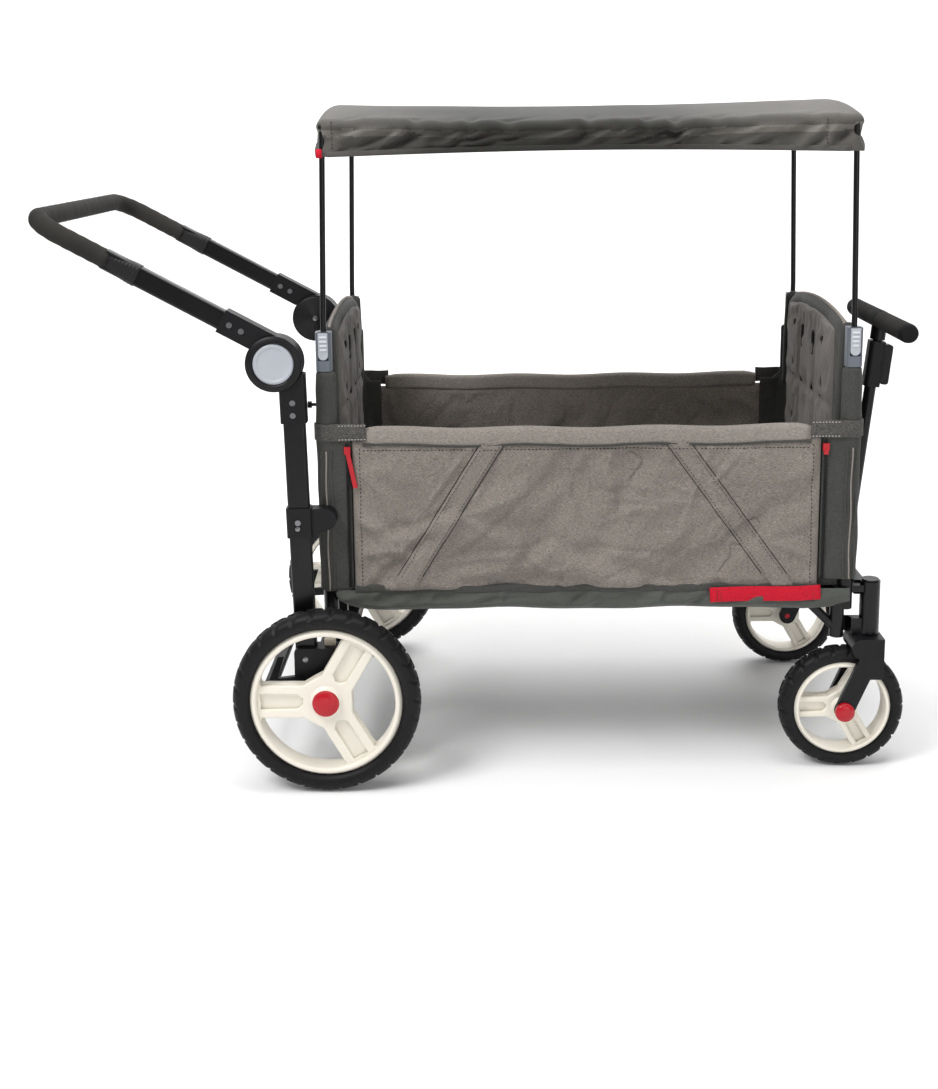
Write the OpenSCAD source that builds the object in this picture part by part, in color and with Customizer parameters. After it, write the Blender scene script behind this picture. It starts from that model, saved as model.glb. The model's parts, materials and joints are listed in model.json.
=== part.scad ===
// Folding stroller wagon with a push handle, a pull handle and a canopy.
// X runs forward to the pull handle, Y to the wagon's left, Z up from the ground.
// The origin is on the ground under the middle of the wagon's overall length.

/* [Running gear] */
// Distance between the rear and front axles
wheel_base = 834; // [820:1:850]
// From the origin forward to the middle of the wheelbase
axle_mid_x = 163.5; // [155:0.5:170]
// Radius of the rear tyres
rear_wheel_r = 150; // [145:1:150]
// Width of the rear tyres
rear_tyre_w = 45; // [40:1:45]
// Distance between the middles of the rear tyres
rear_track = 618; // [616:1:640]
// Radius of the front tyres
front_wheel_r = 101.5; // [99:0.5:101.5]
// Width of the front tyres
front_tyre_w = 40; // [36:1:40]
// Distance between the middles of the front tyres
front_track = 448; // [444:1:452]
// How far the front wheels trail behind their swivel axes
caster_trail = 42; // [38:1:44]

/* [Body] */
// Distance between the left and right corner uprights
body_w = 457; // [455:1:460]
// Outer radius of the corner uprights
upright_r = 12; // [11:0.5:12]
// Height of the clips' tops, where the canopy poles go in
clip_top_z = 729; // [720:1:740]
// Height of the fabric sides' top edge
side_top_z = 577; // [570:1:580]
// Height of the end panels' crown
end_crown_z = 748; // [745:1:752]
// Height of the floor mat's top
mat_top_z = 320; // [318:1:322]

/* [Push handle] */
// Height of the handle's hinge axis
hub_z = 686; // [680:1:692]
// Radius of the hinge discs
hub_r = 44; // [42:1:46]
// Rise of the handle above level, in degrees
handle_rise = 28.6; // [20:0.1:34]
// From the hinge axis to the grip bar
handle_reach = 432; // [400:1:450]
// Outer radius of the foam grip
grip_r = 15.5; // [14:0.5:16]

/* [Pull handle] */
// Forward lean of the stowed pull handle, in degrees
pull_lean = 6.3; // [4:0.1:8]
// From the pull handle's pivot to its cross grip
pull_length = 448.7; // [440:0.1:455]
// Length of the cross grip
pull_grip_w = 352; // [320:2:380]
// Radius of the cross grip
pull_grip_r = 16; // [14:0.5:17]

/* [Canopy] */
// Height of the canopy's crown
canopy_top_z = 1084; // [1080:1:1090]
// Height of the canopy's hem
canopy_hem_z = 1000; // [990:1:1005]
// Radius of the canopy poles
pole_r = 4.5; // [4:0.1:4.5]

/* [Hidden] */
$fn = 64;

tube_wall = 1.6;
fit_gap = 0.06;
skin_gap = 0.4;

rear_x = axle_mid_x - wheel_base / 2;
front_x = axle_mid_x + wheel_base / 2;
rear_y = rear_track / 2;
front_y = front_track / 2;
caster_x = front_x + caster_trail;

// corner uprights of the two end frames
rear_up_x = rear_x + 2;
front_up_x = front_x;
up_y = body_w / 2;
bottom_bar_z = 285;
top_bar_z = 640;
bar_r = 10;
upright_top_z = clip_top_z - 74;
sleeve_r = upright_r + 4.5;
front_leg_x = front_up_x - 11.5;
leg_foot_z = 222;

// floor: the halves hinge at the end frames and in the middle
hinge_end_z = 300;
hinge_mid_z = 279;
hinge_inset = 37.5;
hinge_rear_x = rear_up_x + hinge_inset;
hinge_front_x = front_up_x - hinge_inset;
hinge_mid_x = (hinge_rear_x + hinge_front_x) / 2;
rail_y = 201;
rail_w = 22;
rail_z0 = 276;
rail_h = 24;
stud_r = 5;
mat_gap = 2;

// fabric
panel_half_w = 208;
panel_back = 8;
panel_front = 16;
side_in_y = up_y + 2.5;
side_out_y = up_y + 12.5;
door_x0 = rear_up_x + 40.5;
door_x1 = front_up_x - 47.5;
door_z0 = 306;
hem_h = 30;
piping_r = 1.2;

// push handle: posts, hinge hubs and arms
post_x = rear_x - 40.5;
post_y = 264;
post_ref_z = 445;
post_lean = 1.1;
post_w = 34;
post_t = 20;
hub_x = rear_x - 71;
hub_split_y = post_y - 7.5;
hub_in_y = post_y - 20;
arm_offset = 22;
arm_h = 32;
arm_t = 20;
bracket_h = 38;
bracket_t = 26;
bracket_end = 102;
collar_start = 247;
collar_end = 299;
grip_tube_r = 11;
grip_bend_r = 50;
button_r = 32.5;
rivet_r = 3;
arm_rivet_s = [67, 87.5];
post_rivet_z = [604, 624];

// pull handle
pull_x = front_x + 53.8;
pull_z = 262;
pull_tube_r = 10;
pull_stem_r = 7.9;
housing_z0 = 332;
housing_z1 = 411;
trigger_seat_x = 7;
beam_x = caster_x - 14.5;
beam_z = 311;
head_arm_half = 10;

// brake
brake_x = rear_x - 35;
axle_r = 6;
beam_w = 34;
beam_h = 26;
housing_in_y = 250;
housing_out_y = 283;

// canopy
pole_foot_z = clip_top_z - 120;
pole_bend_z = clip_top_z + 20;
pole_top_z = canopy_top_z - 38;
pole_inset = 7;
arch_rise = 24;
arch_r = (up_y * up_y + arch_rise * arch_rise) / (2 * arch_rise);
cover_half_w = up_y + 11.5;
cover_t = 3;
cover_x0 = rear_up_x - 5;
cover_x1 = front_up_x + 8;

fabric_taupe = [0.49, 0.46, 0.43];
fabric_dark = [0.27, 0.27, 0.25];
fabric_grey = [0.36, 0.36, 0.34];
satin_black = [0.06, 0.06, 0.07];
plastic_black = [0.13, 0.13, 0.14];
foam_black = [0.17, 0.16, 0.15];
rim_cream = [0.91, 0.89, 0.85];
signal_red = [0.80, 0.10, 0.16];
clip_silver = [0.72, 0.74, 0.77];

// ---------- shared shapes ----------

// what is drawn for the left side, on both sides
module both_sides() {
    children();
    mirror([0, 1, 0]) children();
}

// what is drawn for the left side, on the left (1) or right (-1)
module on_side(s) {
    if (s > 0) children();
    else mirror([0, 1, 0]) children();
}

module rod_y(r, y0, y1) {
    translate([0, y0, 0]) rotate([-90, 0, 0]) cylinder(r = r, h = y1 - y0);
}

module rod_z(r, z0, z1) {
    translate([0, 0, z0]) cylinder(r = r, h = z1 - z0);
}

module rod_x(r, x0, x1) {
    translate([x0, 0, 0]) rotate([0, 90, 0]) cylinder(r = r, h = x1 - x0);
}

module round_rect(w, h, r) {
    square([w - 2 * r, h], center = true);
    square([w, h - 2 * r], center = true);
    for (x = [-1, 1], y = [-1, 1])
        translate([x * (w / 2 - r), y * (h / 2 - r)]) circle(r);
}

// an XZ outline given thickness from y0 to y1
module slab_y(y0, y1) {
    translate([0, y1, 0]) rotate([90, 0, 0]) linear_extrude(y1 - y0) children();
}

// a straight rod in an XZ plane between two points
module rod_xz(r, a, b) {
    d = b - a;
    translate([a[0], 0, a[1]]) rotate([0, atan2(d[0], d[1]), 0]) cylinder(r = r, h = norm(d));
}

// a box given by its low and high corners
module span_box(low, high) {
    translate(low) cube(high - low);
}

// ---------- end frames ----------

// uprights, bottom bar and top bar of one end frame
module end_hoop() {
    difference() {
        union() {
            both_sides() translate([0, up_y, 0]) rod_z(upright_r, 270, upright_top_z);
            for (z = [bottom_bar_z, top_bar_z]) translate([0, 0, z]) rod_y(bar_r, -up_y, up_y);
        }
        both_sides() translate([0, up_y, 0]) rod_z(upright_r - 2, 268, upright_top_z + 1);
        for (z = [bottom_bar_z, top_bar_z])
            translate([0, 0, z]) rod_y(bar_r - tube_wall, -up_y + upright_r, up_y - upright_r);
    }
}

// bracket with the stud that a floor rail turns on; dir is +1 towards +X
module floor_bracket(dir) {
    y0 = rail_y - rail_w / 2 - 9;
    slab_y(y0, y0 + 8) difference() {
        union() {
            polygon([[0, bottom_bar_z - 6], [dir * 12, bottom_bar_z - 9],
                [dir * (hinge_inset + 6), hinge_end_z - 9], [dir * (hinge_inset + 2), hinge_end_z + 9],
                [dir * 8, bottom_bar_z + 7], [0, bottom_bar_z + 6]]);
            translate([dir * hinge_inset, hinge_end_z]) circle(10);
        }
        translate([0, bottom_bar_z]) circle(bar_r - 1);
    }
    translate([dir * hinge_inset, 0, hinge_end_z]) rod_y(stud_r, y0, rail_y + rail_w / 2 + 1);
}

// the small stud that the storage strap hooks onto
module strap_stud() {
    translate([0, up_y, 612]) {
        rod_x(2.6, -upright_r - 11, -upright_r + 1);
        rod_x(5.5, -upright_r - 16, -upright_r - 10);
    }
}

module rear_end_frame() {
    color(satin_black) translate([rear_up_x, 0, 0]) {
        end_hoop();
        both_sides() {
            floor_bracket(1);
            strap_stud();
        }
    }
}

module front_end_frame() {
    color(satin_black) translate([front_up_x, 0, 0]) {
        end_hoop();
        both_sides() {
            floor_bracket(-1);
            translate([0, up_y, 0]) {
                translate([front_leg_x - front_up_x, 0, 0]) rod_z(11.5, leg_foot_z, bottom_bar_z);
                translate([0, 0, bottom_bar_z]) rod_x(7.5, -66, -8);
                rod_xz(7.5, [-64, bottom_bar_z], [-14, leg_foot_z + 14]);
            }
        }
    }
}

// ---------- posts, axle and hinge hubs of the push handle ----------

module post_frame() {
    translate([post_x, post_y, post_ref_z]) rotate([0, -post_lean, 0]) children();
}

module post_solid() {
    post_frame() translate([0, 0, 190 - post_ref_z])
        linear_extrude(636 - 190) round_rect(post_w, post_t, 4);
}

module post_bores() {
    for (z = post_rivet_z) translate([post_x - 3.2, post_y, z]) rod_y(rivet_r + 0.05, -20, 20);
    translate([post_x - 1, post_y, 431]) rod_y(rivet_r + 0.05, -20, 20);
}

module handle_posts() {
    color(satin_black) both_sides() difference() {
        post_solid();
        post_frame() translate([0, 0, 188 - post_ref_z])
            linear_extrude(450) round_rect(post_w - 2 * tube_wall, post_t - 2 * tube_wall, 2.5);
        post_bores();
    }
}

module post_rivets() {
    color("gray") both_sides() {
        for (z = post_rivet_z) translate([post_x - 3.2, post_y, z]) {
            rod_y(rivet_r, -13, 13);
            rod_y(4.6, 13, 14.4);
            rod_y(4.6, -14.4, -13);
        }
        translate([post_x - 1, post_y, 431]) {
            rod_y(rivet_r, -13, 13);
            rod_y(4.6, 13, 14.4);
            rod_y(4.6, -14.4, -13);
        }
    }
}

// clamp on the post, with an arm that bolts to the corner upright
module post_clamps() {
    reach = rear_up_x - post_x;
    color(plastic_black) both_sides() difference() {
        union() {
            post_frame() translate([0, 0, 406 - post_ref_z])
                linear_extrude(48) round_rect(post_w + 6, 26, 4);
            translate([post_x, 0, 0]) slab_y(up_y + 18, post_y + 8) {
                translate([reach - 1, 434.5]) circle(17.5);
                polygon([[14, 387], [19, 392], [34, 414], [reach, 417], [reach, 452], [14, 452]]);
            }
            translate([rear_up_x, 0, 434.5]) rod_y(9, up_y + 10, up_y + 18.5);
        }
        post_solid();
        translate([rear_up_x, up_y, 0]) rod_z(upright_r, 300, 600);
        post_bores();
    }
}

module axle_housings() {
    color(plastic_black) both_sides() difference() {
        translate([rear_x - 16, 0, 177]) slab_y(housing_in_y, housing_out_y) round_rect(76, 94, 7);
        post_solid();
        translate([rear_x, 0, rear_wheel_r]) rod_y(axle_r + fit_gap, housing_in_y - 1, housing_out_y + 1);
        translate([brake_x, 0, rear_wheel_r]) rod_y(axle_r + fit_gap, housing_in_y - 1, housing_in_y + 7);
    }
}

// cross beam between the housings, with struts up to the end frame
module rear_axle_beam() {
    strut_top = bottom_bar_z - bar_r;
    color(satin_black) {
        difference() {
            slab_on_axle(beam_w, beam_h);
            slab_on_axle(beam_w - 2 * tube_wall, beam_h - 2 * tube_wall);
        }
        both_sides() translate([rear_up_x - 12, 92, rear_wheel_r + beam_h / 2 - tube_wall / 2])
            cube([24, 16, strut_top - rear_wheel_r - beam_h / 2 + tube_wall / 2]);
    }
}

module slab_on_axle(w, h) {
    translate([rear_x, 0, rear_wheel_r]) slab_y(-housing_in_y, housing_in_y) round_rect(w, h, 3);
}

// fixed half of the handle hinge, with the pivot boss and the socket for the post
module hub_bases() {
    color(plastic_black) both_sides() difference() {
        union() {
            translate([hub_x, 0, hub_z]) {
                rod_y(hub_r, hub_in_y, hub_split_y);
                rod_y(10, hub_split_y - 1, post_y + 3);
            }
            post_frame() translate([0, 0, 591 - post_ref_z])
                linear_extrude(78) round_rect(post_w + 7, bracket_t, 4);
        }
        translate([hub_x, 0, hub_z]) difference() {
            rod_y(hub_r + 0.8, hub_split_y, post_y + 30);
            rod_y(10, hub_split_y - 1, post_y + 4);
        }
        post_solid();
        post_bores();
    }
}

// ---------- push handle ----------

// frame of the handle's arms: -X along the arm, +Z across it
module arm_frame() {
    translate([hub_x, 0, hub_z]) rotate([0, handle_rise, 0]) children();
}

module arm_tube(grow, y) {
    translate([-collar_end - 6, y, arm_offset]) rotate([0, 90, 0])
        linear_extrude(collar_end + 6 - 52) round_rect(arm_h + grow, arm_t + grow, 5 + grow / 2);
}

module arm_bores() {
    for (s = arm_rivet_s) translate([-s, post_y, arm_offset]) rod_y(rivet_r + 0.05, -20, 20);
}

// rotating half of each hinge, with the socket for the arm and the seat for the button
module arm_brackets() {
    color(plastic_black) arm_frame() both_sides() difference() {
        union() {
            rod_y(hub_r, hub_split_y + 0.5, post_y + 17);
            translate([-bracket_end, post_y - bracket_t / 2, arm_offset - bracket_h / 2])
                cube([bracket_end - 8, bracket_t, bracket_h]);
        }
        rod_y(hub_r + 0.8, hub_in_y - 10, hub_split_y + 0.5);
        rod_y(10 + fit_gap, hub_split_y - 1, post_y + 10);
        rod_y(button_r + 0.5, post_y + 4, post_y + 20);
        arm_tube(0, post_y);
        arm_bores();
    }
}

module arm_rivets() {
    color("gray") arm_frame() both_sides() for (s = arm_rivet_s)
        translate([-s, post_y, arm_offset]) {
            rod_y(rivet_r, -13, 13);
            rod_y(4.6, 13, 14.4);
            rod_y(4.6, -14.4, -13);
        }
}

// a round bar along the grip: two arms, two bends and the cross bar
module grip_path(r) {
    bend_x = -handle_reach + grip_bend_r;
    translate([0, 0, arm_offset]) {
        both_sides() {
            translate([0, post_y, 0]) rod_x(r, bend_x, -collar_end);
            translate([bend_x, post_y - grip_bend_r, 0])
                rotate([0, 0, 90]) rotate_extrude(angle = 90)
                    translate([grip_bend_r, 0]) circle(r);
        }
        translate([-handle_reach, 0, 0]) rod_y(r, -post_y + grip_bend_r, post_y - grip_bend_r);
    }
}

module handle_tube() {
    color(satin_black) arm_frame() difference() {
        union() {
            both_sides() arm_tube(0, post_y);
            grip_path(grip_tube_r);
        }
        both_sides() arm_tube(-2 * tube_wall, post_y);
        both_sides() arm_bores();
    }
}

module foam_grip() {
    color(foam_black) arm_frame() difference() {
        grip_path(grip_r);
        grip_path(grip_tube_r);
        both_sides() arm_tube(0, post_y);
    }
}

module grip_sleeves() {
    color(plastic_black) arm_frame() both_sides() difference() {
        translate([-collar_end, post_y, arm_offset]) rotate([0, 90, 0])
            linear_extrude(collar_end - collar_start) round_rect(36, 26, 10);
        arm_tube(0, post_y);
    }
}

// the round cap on each hinge that is pressed to free the handle
module hub_button(s) {
    color(clip_silver) arm_frame() on_side(s) difference() {
        union() {
            rod_y(button_r, post_y + 9, post_y + 17.5);
            rod_y(button_r - 2, post_y + 17, post_y + 19.5);
        }
        rod_y(button_r - 5, post_y + 8, post_y + 13);
    }
}

module hub_button_left() { hub_button(1); }
module hub_button_right() { hub_button(-1); }

// ---------- floor ----------

// one half of the floor frame; dir is +1 for the rear half, which runs forward from its hinge
module floor_frame(dir) {
    run = hinge_mid_x - hinge_rear_x;
    y0 = rail_y - rail_w / 2;
    y1 = rail_y + rail_w / 2;
    knuckle_y0 = dir > 0 ? y0 : rail_y + 0.4;
    knuckle_y1 = dir > 0 ? rail_y - 0.4 : y1;
    difference() {
        union() {
            both_sides() {
                slab_y(y0, y1) {
                    circle_at([0, hinge_end_z], 12);
                    polygon(sign_x(dir, [[-6, hinge_end_z - 10], [10, rail_z0], [run - 20, rail_z0],
                        [run - 20, rail_z0 + rail_h], [0, rail_z0 + rail_h]]));
                }
                slab_y(knuckle_y0, knuckle_y1) {
                    circle_at([dir * run, hinge_mid_z], 9);
                    polygon(sign_x(dir, [[run - 24, rail_z0], [run - 2, hinge_mid_z - 9],
                        [run, hinge_mid_z], [run, hinge_mid_z + 9], [run - 24, rail_z0 + rail_h]]));
                }
                if (dir > 0) translate([run, 0, hinge_mid_z]) rod_y(stud_r, knuckle_y0, y1 + 1);
            }
            for (x = [60, run / 2, run - 45])
                translate([dir * x, 0, rail_z0 + rail_h / 2]) rod_y(8, -y0 - 1, y0 + 1);
        }
        both_sides() {
            translate([0, 0, hinge_end_z]) rod_y(stud_r + fit_gap, y0 - 2, y1 + 2);
            if (dir < 0) translate([-run, 0, hinge_mid_z])
                rod_y(stud_r + fit_gap, knuckle_y0 - 2, knuckle_y1 + 2);
            slab_y(y0 + tube_wall, y1 - tube_wall)
                polygon(sign_x(dir, [[24, rail_z0 + tube_wall], [run - 30, rail_z0 + tube_wall],
                    [run - 30, rail_z0 + rail_h - tube_wall], [24, rail_z0 + rail_h - tube_wall]]));
        }
    }
}

module circle_at(p, r) {
    translate(p) circle(r);
}

function sign_x(dir, points) = [for (p = points) [dir * p[0], p[1]]];

module rear_floor_frame() {
    color(satin_black) translate([hinge_rear_x, 0, 0]) floor_frame(1);
}

module front_floor_frame() {
    color(satin_black) translate([hinge_front_x, 0, 0]) floor_frame(-1);
}

module floor_mat(x0, x1) {
    difference() {
        span_box([x0, -panel_half_w - 14, rail_z0 + rail_h], [x1, panel_half_w + 14, mat_top_z]);
        both_sides() for (x = [hinge_rear_x, hinge_front_x])
            translate([x, rail_y, hinge_end_z]) rod_y(13, -rail_w / 2 - 11, rail_w / 2 + 2);
    }
}

module rear_floor_mat() {
    color(fabric_dark) floor_mat(hinge_rear_x + mat_gap, hinge_mid_x - mat_gap);
}

module front_floor_mat() {
    color(fabric_dark) floor_mat(hinge_mid_x + mat_gap, hinge_front_x - mat_gap);
}

// ---------- fabric body ----------

// padded end wall with an arched top; dir is +1 where the cabin is towards +X
module end_panel(dir) {
    crown_r = 1070;
    corner = 34;
    depth0 = dir > 0 ? -panel_back : -panel_front;
    difference() {
        translate([depth0, 0, 0]) rotate([90, 0, 90])
            linear_extrude(panel_back + panel_front) intersection() {
            union() {
                translate([-panel_half_w, bottom_bar_z + bar_r + 2])
                    square([2 * panel_half_w, end_crown_z - corner - 14 - bottom_bar_z - bar_r - 2]);
                translate([-panel_half_w + corner, 600])
                    square([2 * (panel_half_w - corner), end_crown_z - 600]);
                for (y = [-1, 1]) translate([y * (panel_half_w - corner), end_crown_z - corner - 14])
                    circle(corner);
            }
            translate([0, end_crown_z - crown_r]) circle(crown_r, $fn = 200);
        }
        translate([0, 0, top_bar_z]) rod_y(bar_r + skin_gap, -up_y, up_y);
    }
}

module rear_end_panel() {
    color(fabric_taupe) translate([rear_up_x, 0, 0]) end_panel(1);
}

module front_end_panel() {
    color(fabric_taupe) translate([front_up_x, 0, 0]) end_panel(-1);
}

// sleeve on an upright, the gusset behind its clip and the zip's fixed tape
module corner_sleeve(dir, foot_z, tape_w) {
    tape_x = dir > 0 ? sleeve_r - 1 : -tape_w;
    difference() {
        union() {
            translate([0, up_y, 0]) rod_z(sleeve_r, foot_z, upright_top_z - 1);
            translate([tape_x, side_in_y, foot_z]) cube([tape_w - sleeve_r + 1, 10, 553 - foot_z]);
            slab_y(panel_half_w + 0.5, up_y - sleeve_r + 0.2) polygon([
                [dir * -9, 575], [dir * 22, 575], [dir * 25, 640], [dir * 17, 672],
                [dir * 25, 705], [dir * 19, 728], [dir * 8, 735], [dir * -5, 730], [dir * -10, 660]]);
        }
        translate([0, up_y, 0]) rod_z(upright_r + skin_gap, 250, 700);
        for (z = [bottom_bar_z, top_bar_z]) translate([0, 0, z]) rod_y(bar_r + skin_gap, 0, up_y);
        translate([-30, up_y, 612]) rod_x(3, 0, 30);
        if (dir > 0) translate([0, 0, 434.5]) rod_y(9.4, up_y, up_y + 30);
    }
}

module rear_corner_sleeves() {
    color(fabric_grey) translate([rear_up_x, 0, 0]) both_sides() corner_sleeve(1, door_z0, 39);
}

module front_corner_sleeves() {
    color(fabric_grey) translate([front_up_x, 0, 0]) both_sides() corner_sleeve(-1, 320, 46);
}

// side wall with its rolled top hem and the straps that hold it to the corners
module side_panel() {
    strap_z = [555, 584];
    span_box([door_x0, side_in_y, door_z0], [door_x1, side_out_y, side_top_z - hem_h + 4]);
    translate([0, side_out_y, door_z0]) rod_x(piping_r, door_x0 + 2, door_x1 - 2);
    translate([(door_x0 + door_x1) / 2, (side_in_y + side_out_y) / 2, side_top_z - hem_h / 2])
        rotate([90, 0, 90]) linear_extrude(door_x1 - door_x0 - 40, center = true)
            round_rect(17, hem_h, 8);
    span_box([rear_up_x - 8, up_y + sleeve_r + 0.6, strap_z[0]],
        [door_x0 + 26, up_y + sleeve_r + 3.6, strap_z[1]]);
    span_box([door_x1 - 26, up_y + sleeve_r + 0.6, strap_z[0] + 2],
        [front_up_x + 8, up_y + sleeve_r + 3.6, strap_z[1] - 2]);
    for (x = [door_x0 + 8, door_x1 - 26])
        span_box([x, side_in_y, 540], [x + 18, up_y + sleeve_r + 3.6, strap_z[1] - 2]);
}

module side_panel_left() {
    color(fabric_taupe) side_panel();
}

module side_panel_right() {
    color(fabric_taupe) on_side(-1) side_panel();
}

// band of cloth around the floor
module bottom_skirt() {
    z0 = 274;
    z1 = door_z0 - 2;
    color(fabric_dark) both_sides()
        span_box([rear_up_x + 14, up_y + 4, z0], [front_up_x - 70, up_y + 12, z1]);
    color(fabric_dark) both_sides()
        span_box([front_up_x - 72, up_y + 13, z0 + 4], [front_up_x + 6, up_y + 16, z1]);
    color(fabric_dark) both_sides()
        span_box([front_up_x - 78, up_y + 4, z0 + 4], [front_up_x - 70, up_y + 16, z1]);
}

// webbing that holds the folded wagon shut
module fold_strap() {
    x1 = front_up_x - 44;
    color(signal_red) translate([x1, -up_y - 16.5, 302]) rotate([0, -1.2, 0])
        translate([-176, -2.5, -12]) cube([176, 2.2, 25]);
}

// slider and pull tab of a zip on the near side, at the given X; the tab hangs at a slant
module zip_pull(x, tab_length, slant) {
    color(signal_red) translate([x, -side_out_y - 1, 540]) {
        span_box([-5, -4, -6], [5, 0, 6]);
        rotate([0, -slant, 0]) span_box([-3.5, -4.5, -tab_length], [3.5, -1, -2]);
    }
}

module zip_pull_rear() { zip_pull(door_x0 - 6.5, 62, 11); }
module zip_pull_front() { zip_pull(door_x1 + 6.5, 12, 0); }

// ---------- canopy ----------

// clip on top of an upright: bore for the pole and a window for the button
module pole_clip() {
    difference() {
        translate([0, up_y, 0]) {
            translate([0, 0, upright_top_z + 12])
                linear_extrude(clip_top_z - upright_top_z - 12) round_rect(25, 26, 7);
            rod_z(upright_r - 0.5, upright_top_z, upright_top_z + 13);
        }
        translate([0, up_y, 0]) rod_z(pole_r + 0.3, 600, 800);
        span_box([-8.4, up_y + 5.5, 684], [8.4, up_y + 20, clip_top_z + 1]);
    }
}

module rear_pole_clips() {
    color([0.42, 0.44, 0.47]) translate([rear_up_x, 0, 0]) both_sides() pole_clip();
}

module front_pole_clips() {
    color([0.42, 0.44, 0.47]) translate([front_up_x, 0, 0]) both_sides() pole_clip();
}

module clip_button(x, s) {
    color(clip_silver) on_side(s) translate([x, up_y, 0]) {
        span_box([-8, 9, 692], [8, 14, clip_top_z - 1]);
        for (z = [704 : 6 : 722]) span_box([-6, 13.5, z], [6, 15, z + 2.4]);
        span_box([-8, 9, 685], [8, 12, 692.5]);
    }
}

module clip_button_rear_left() { clip_button(rear_up_x, 1); }
module clip_button_rear_right() { clip_button(rear_up_x, -1); }
module clip_button_front_left() { clip_button(front_up_x, 1); }
module clip_button_front_right() { clip_button(front_up_x, -1); }

// two poles that lean together and the arch between them; dir is +1 where they lean to +X
module canopy_hoop(dir) {
    half_angle = asin(up_y / arch_r);
    both_sides() translate([0, up_y, 0]) {
        rod_z(pole_r, pole_foot_z, pole_bend_z);
        translate([0, 0, pole_bend_z]) sphere(pole_r);
        rod_xz(pole_r, [0, pole_bend_z], [dir * pole_inset, pole_top_z]);
        translate([dir * pole_inset, 0, pole_top_z]) sphere(pole_r + 2);
    }
    translate([dir * pole_inset, 0, pole_top_z + arch_rise - arch_r])
        rotate([90, 0, 90]) rotate([0, 0, 90 - half_angle])
            rotate_extrude(angle = 2 * half_angle, $fn = 600)
                translate([arch_r, 0]) circle(pole_r, $fn = 64);
}

module rear_canopy_hoop() {
    color(satin_black) translate([rear_up_x, 0, 0]) canopy_hoop(1);
}

module front_canopy_hoop() {
    color(satin_black) translate([front_up_x, 0, 0]) canopy_hoop(-1);
}

// outline of the canopy's section: an arched roof on straight sides
module canopy_outline(inset) {
    roof_r = 1100 - inset;
    intersection() {
        translate([-cover_half_w + inset, canopy_hem_z - 1])
            square([2 * (cover_half_w - inset), canopy_top_z - canopy_hem_z + 10]);
        translate([0, canopy_top_z - 1100]) circle(roof_r, $fn = 200);
    }
}

module canopy_cover() {
    color(fabric_grey) difference() {
        translate([cover_x0, 0, 0]) rotate([90, 0, 90]) linear_extrude(cover_x1 - cover_x0)
            canopy_outline(0);
        translate([cover_x0 + cover_t, 0, 0]) rotate([90, 0, 90])
            linear_extrude(cover_x1 - cover_x0 - 2 * cover_t) canopy_outline(cover_t);
        span_box([cover_x0 + cover_t, -cover_half_w + cover_t, canopy_hem_z - 5],
            [cover_x1 - cover_t, cover_half_w - cover_t, canopy_hem_z + 20]);
        span_box([cover_x0 - 5, -cover_half_w - 5, canopy_hem_z - 5],
            [cover_x1 + 5, cover_half_w + 5, canopy_hem_z]);
    }
}

// ---------- wheels ----------

// tyre section with a round tread and flat beads, from the bead radius to the tread radius
module tyre_section(bead_r, tread_r, w) {
    shoulder = w * 0.36;
    translate([bead_r, -w / 2 + 2]) square([tread_r - bead_r - shoulder, w - 4]);
    translate([bead_r, -w / 2 + 6]) square([tread_r - bead_r - 3, w - 12]);
    intersection() {
        translate([tread_r - w * 0.62, 0]) circle(w * 0.62);
        translate([bead_r + 2, -w / 2]) square([tread_r, w]);
    }
}

module wheel_ring(wheel_r, rim_r, w) {
    rotate([-90, 0, 0]) rotate_extrude() tyre_section(rim_r, wheel_r, w);
}

// rim with three broad spokes, each with a channel pressed into it
module wheel_rim(seat_r, w, hub_half, boss_r, bore_r, spoke_w, first) {
    barrel_r = seat_r - 14;
    web = w * 0.32;
    rotate([-90, 0, 0]) difference() {
        union() {
            difference() {
                translate([0, 0, -w / 2 + 3]) cylinder(r = seat_r, h = w - 6);
                translate([0, 0, -w]) cylinder(r = barrel_r, h = 2 * w);
            }
            translate([0, 0, -hub_half]) cylinder(r = boss_r, h = 2 * hub_half);
            for (a = [first : 120 : first + 240]) rotate([0, 0, a])
                translate([0, -spoke_w / 2, -web]) cube([barrel_r + 1, spoke_w, 2 * web]);
        }
        translate([0, 0, -w]) cylinder(r = bore_r, h = 2 * w);
        for (a = [first : 120 : first + 240], side = [-1, 1]) rotate([0, 0, a])
            translate([boss_r + 8, -spoke_w * 0.27, side > 0 ? web - 5 : -web - 1])
                cube([barrel_r - boss_r - 12, spoke_w * 0.54, 6]);
    }
}

module rear_tyre(s) {
    color(satin_black) on_side(s) translate([rear_x, rear_y, rear_wheel_r])
        wheel_ring(rear_wheel_r, rear_wheel_r - 27, rear_tyre_w);
}

module rear_rim(s) {
    color(rim_cream) on_side(s) translate([rear_x, rear_y, rear_wheel_r])
        wheel_rim(rear_wheel_r - 27, rear_tyre_w, 18, 32, axle_r, 50, 180);
}

// axle pin with a red cap on its outer end; it turns with the wheel
module rear_axle(s) {
    color(signal_red) on_side(s) translate([rear_x, 0, rear_wheel_r]) {
        rod_y(axle_r, housing_in_y + 1.5, rear_y + 18);
        rod_y(20.5, rear_y + 18, rear_y + 21.5);
        rod_y(13, housing_out_y + 0.8, rear_y - 18);
    }
}

module rear_tyre_left() { rear_tyre(1); }
module rear_tyre_right() { rear_tyre(-1); }
module rear_rim_left() { rear_rim(1); }
module rear_rim_right() { rear_rim(-1); }
module rear_axle_left() { rear_axle(1); }
module rear_axle_right() { rear_axle(-1); }

module front_tyre(s) {
    color(satin_black) on_side(s) translate([front_x, front_y, front_wheel_r])
        wheel_ring(front_wheel_r, front_wheel_r - 22.5, front_tyre_w);
}

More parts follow.
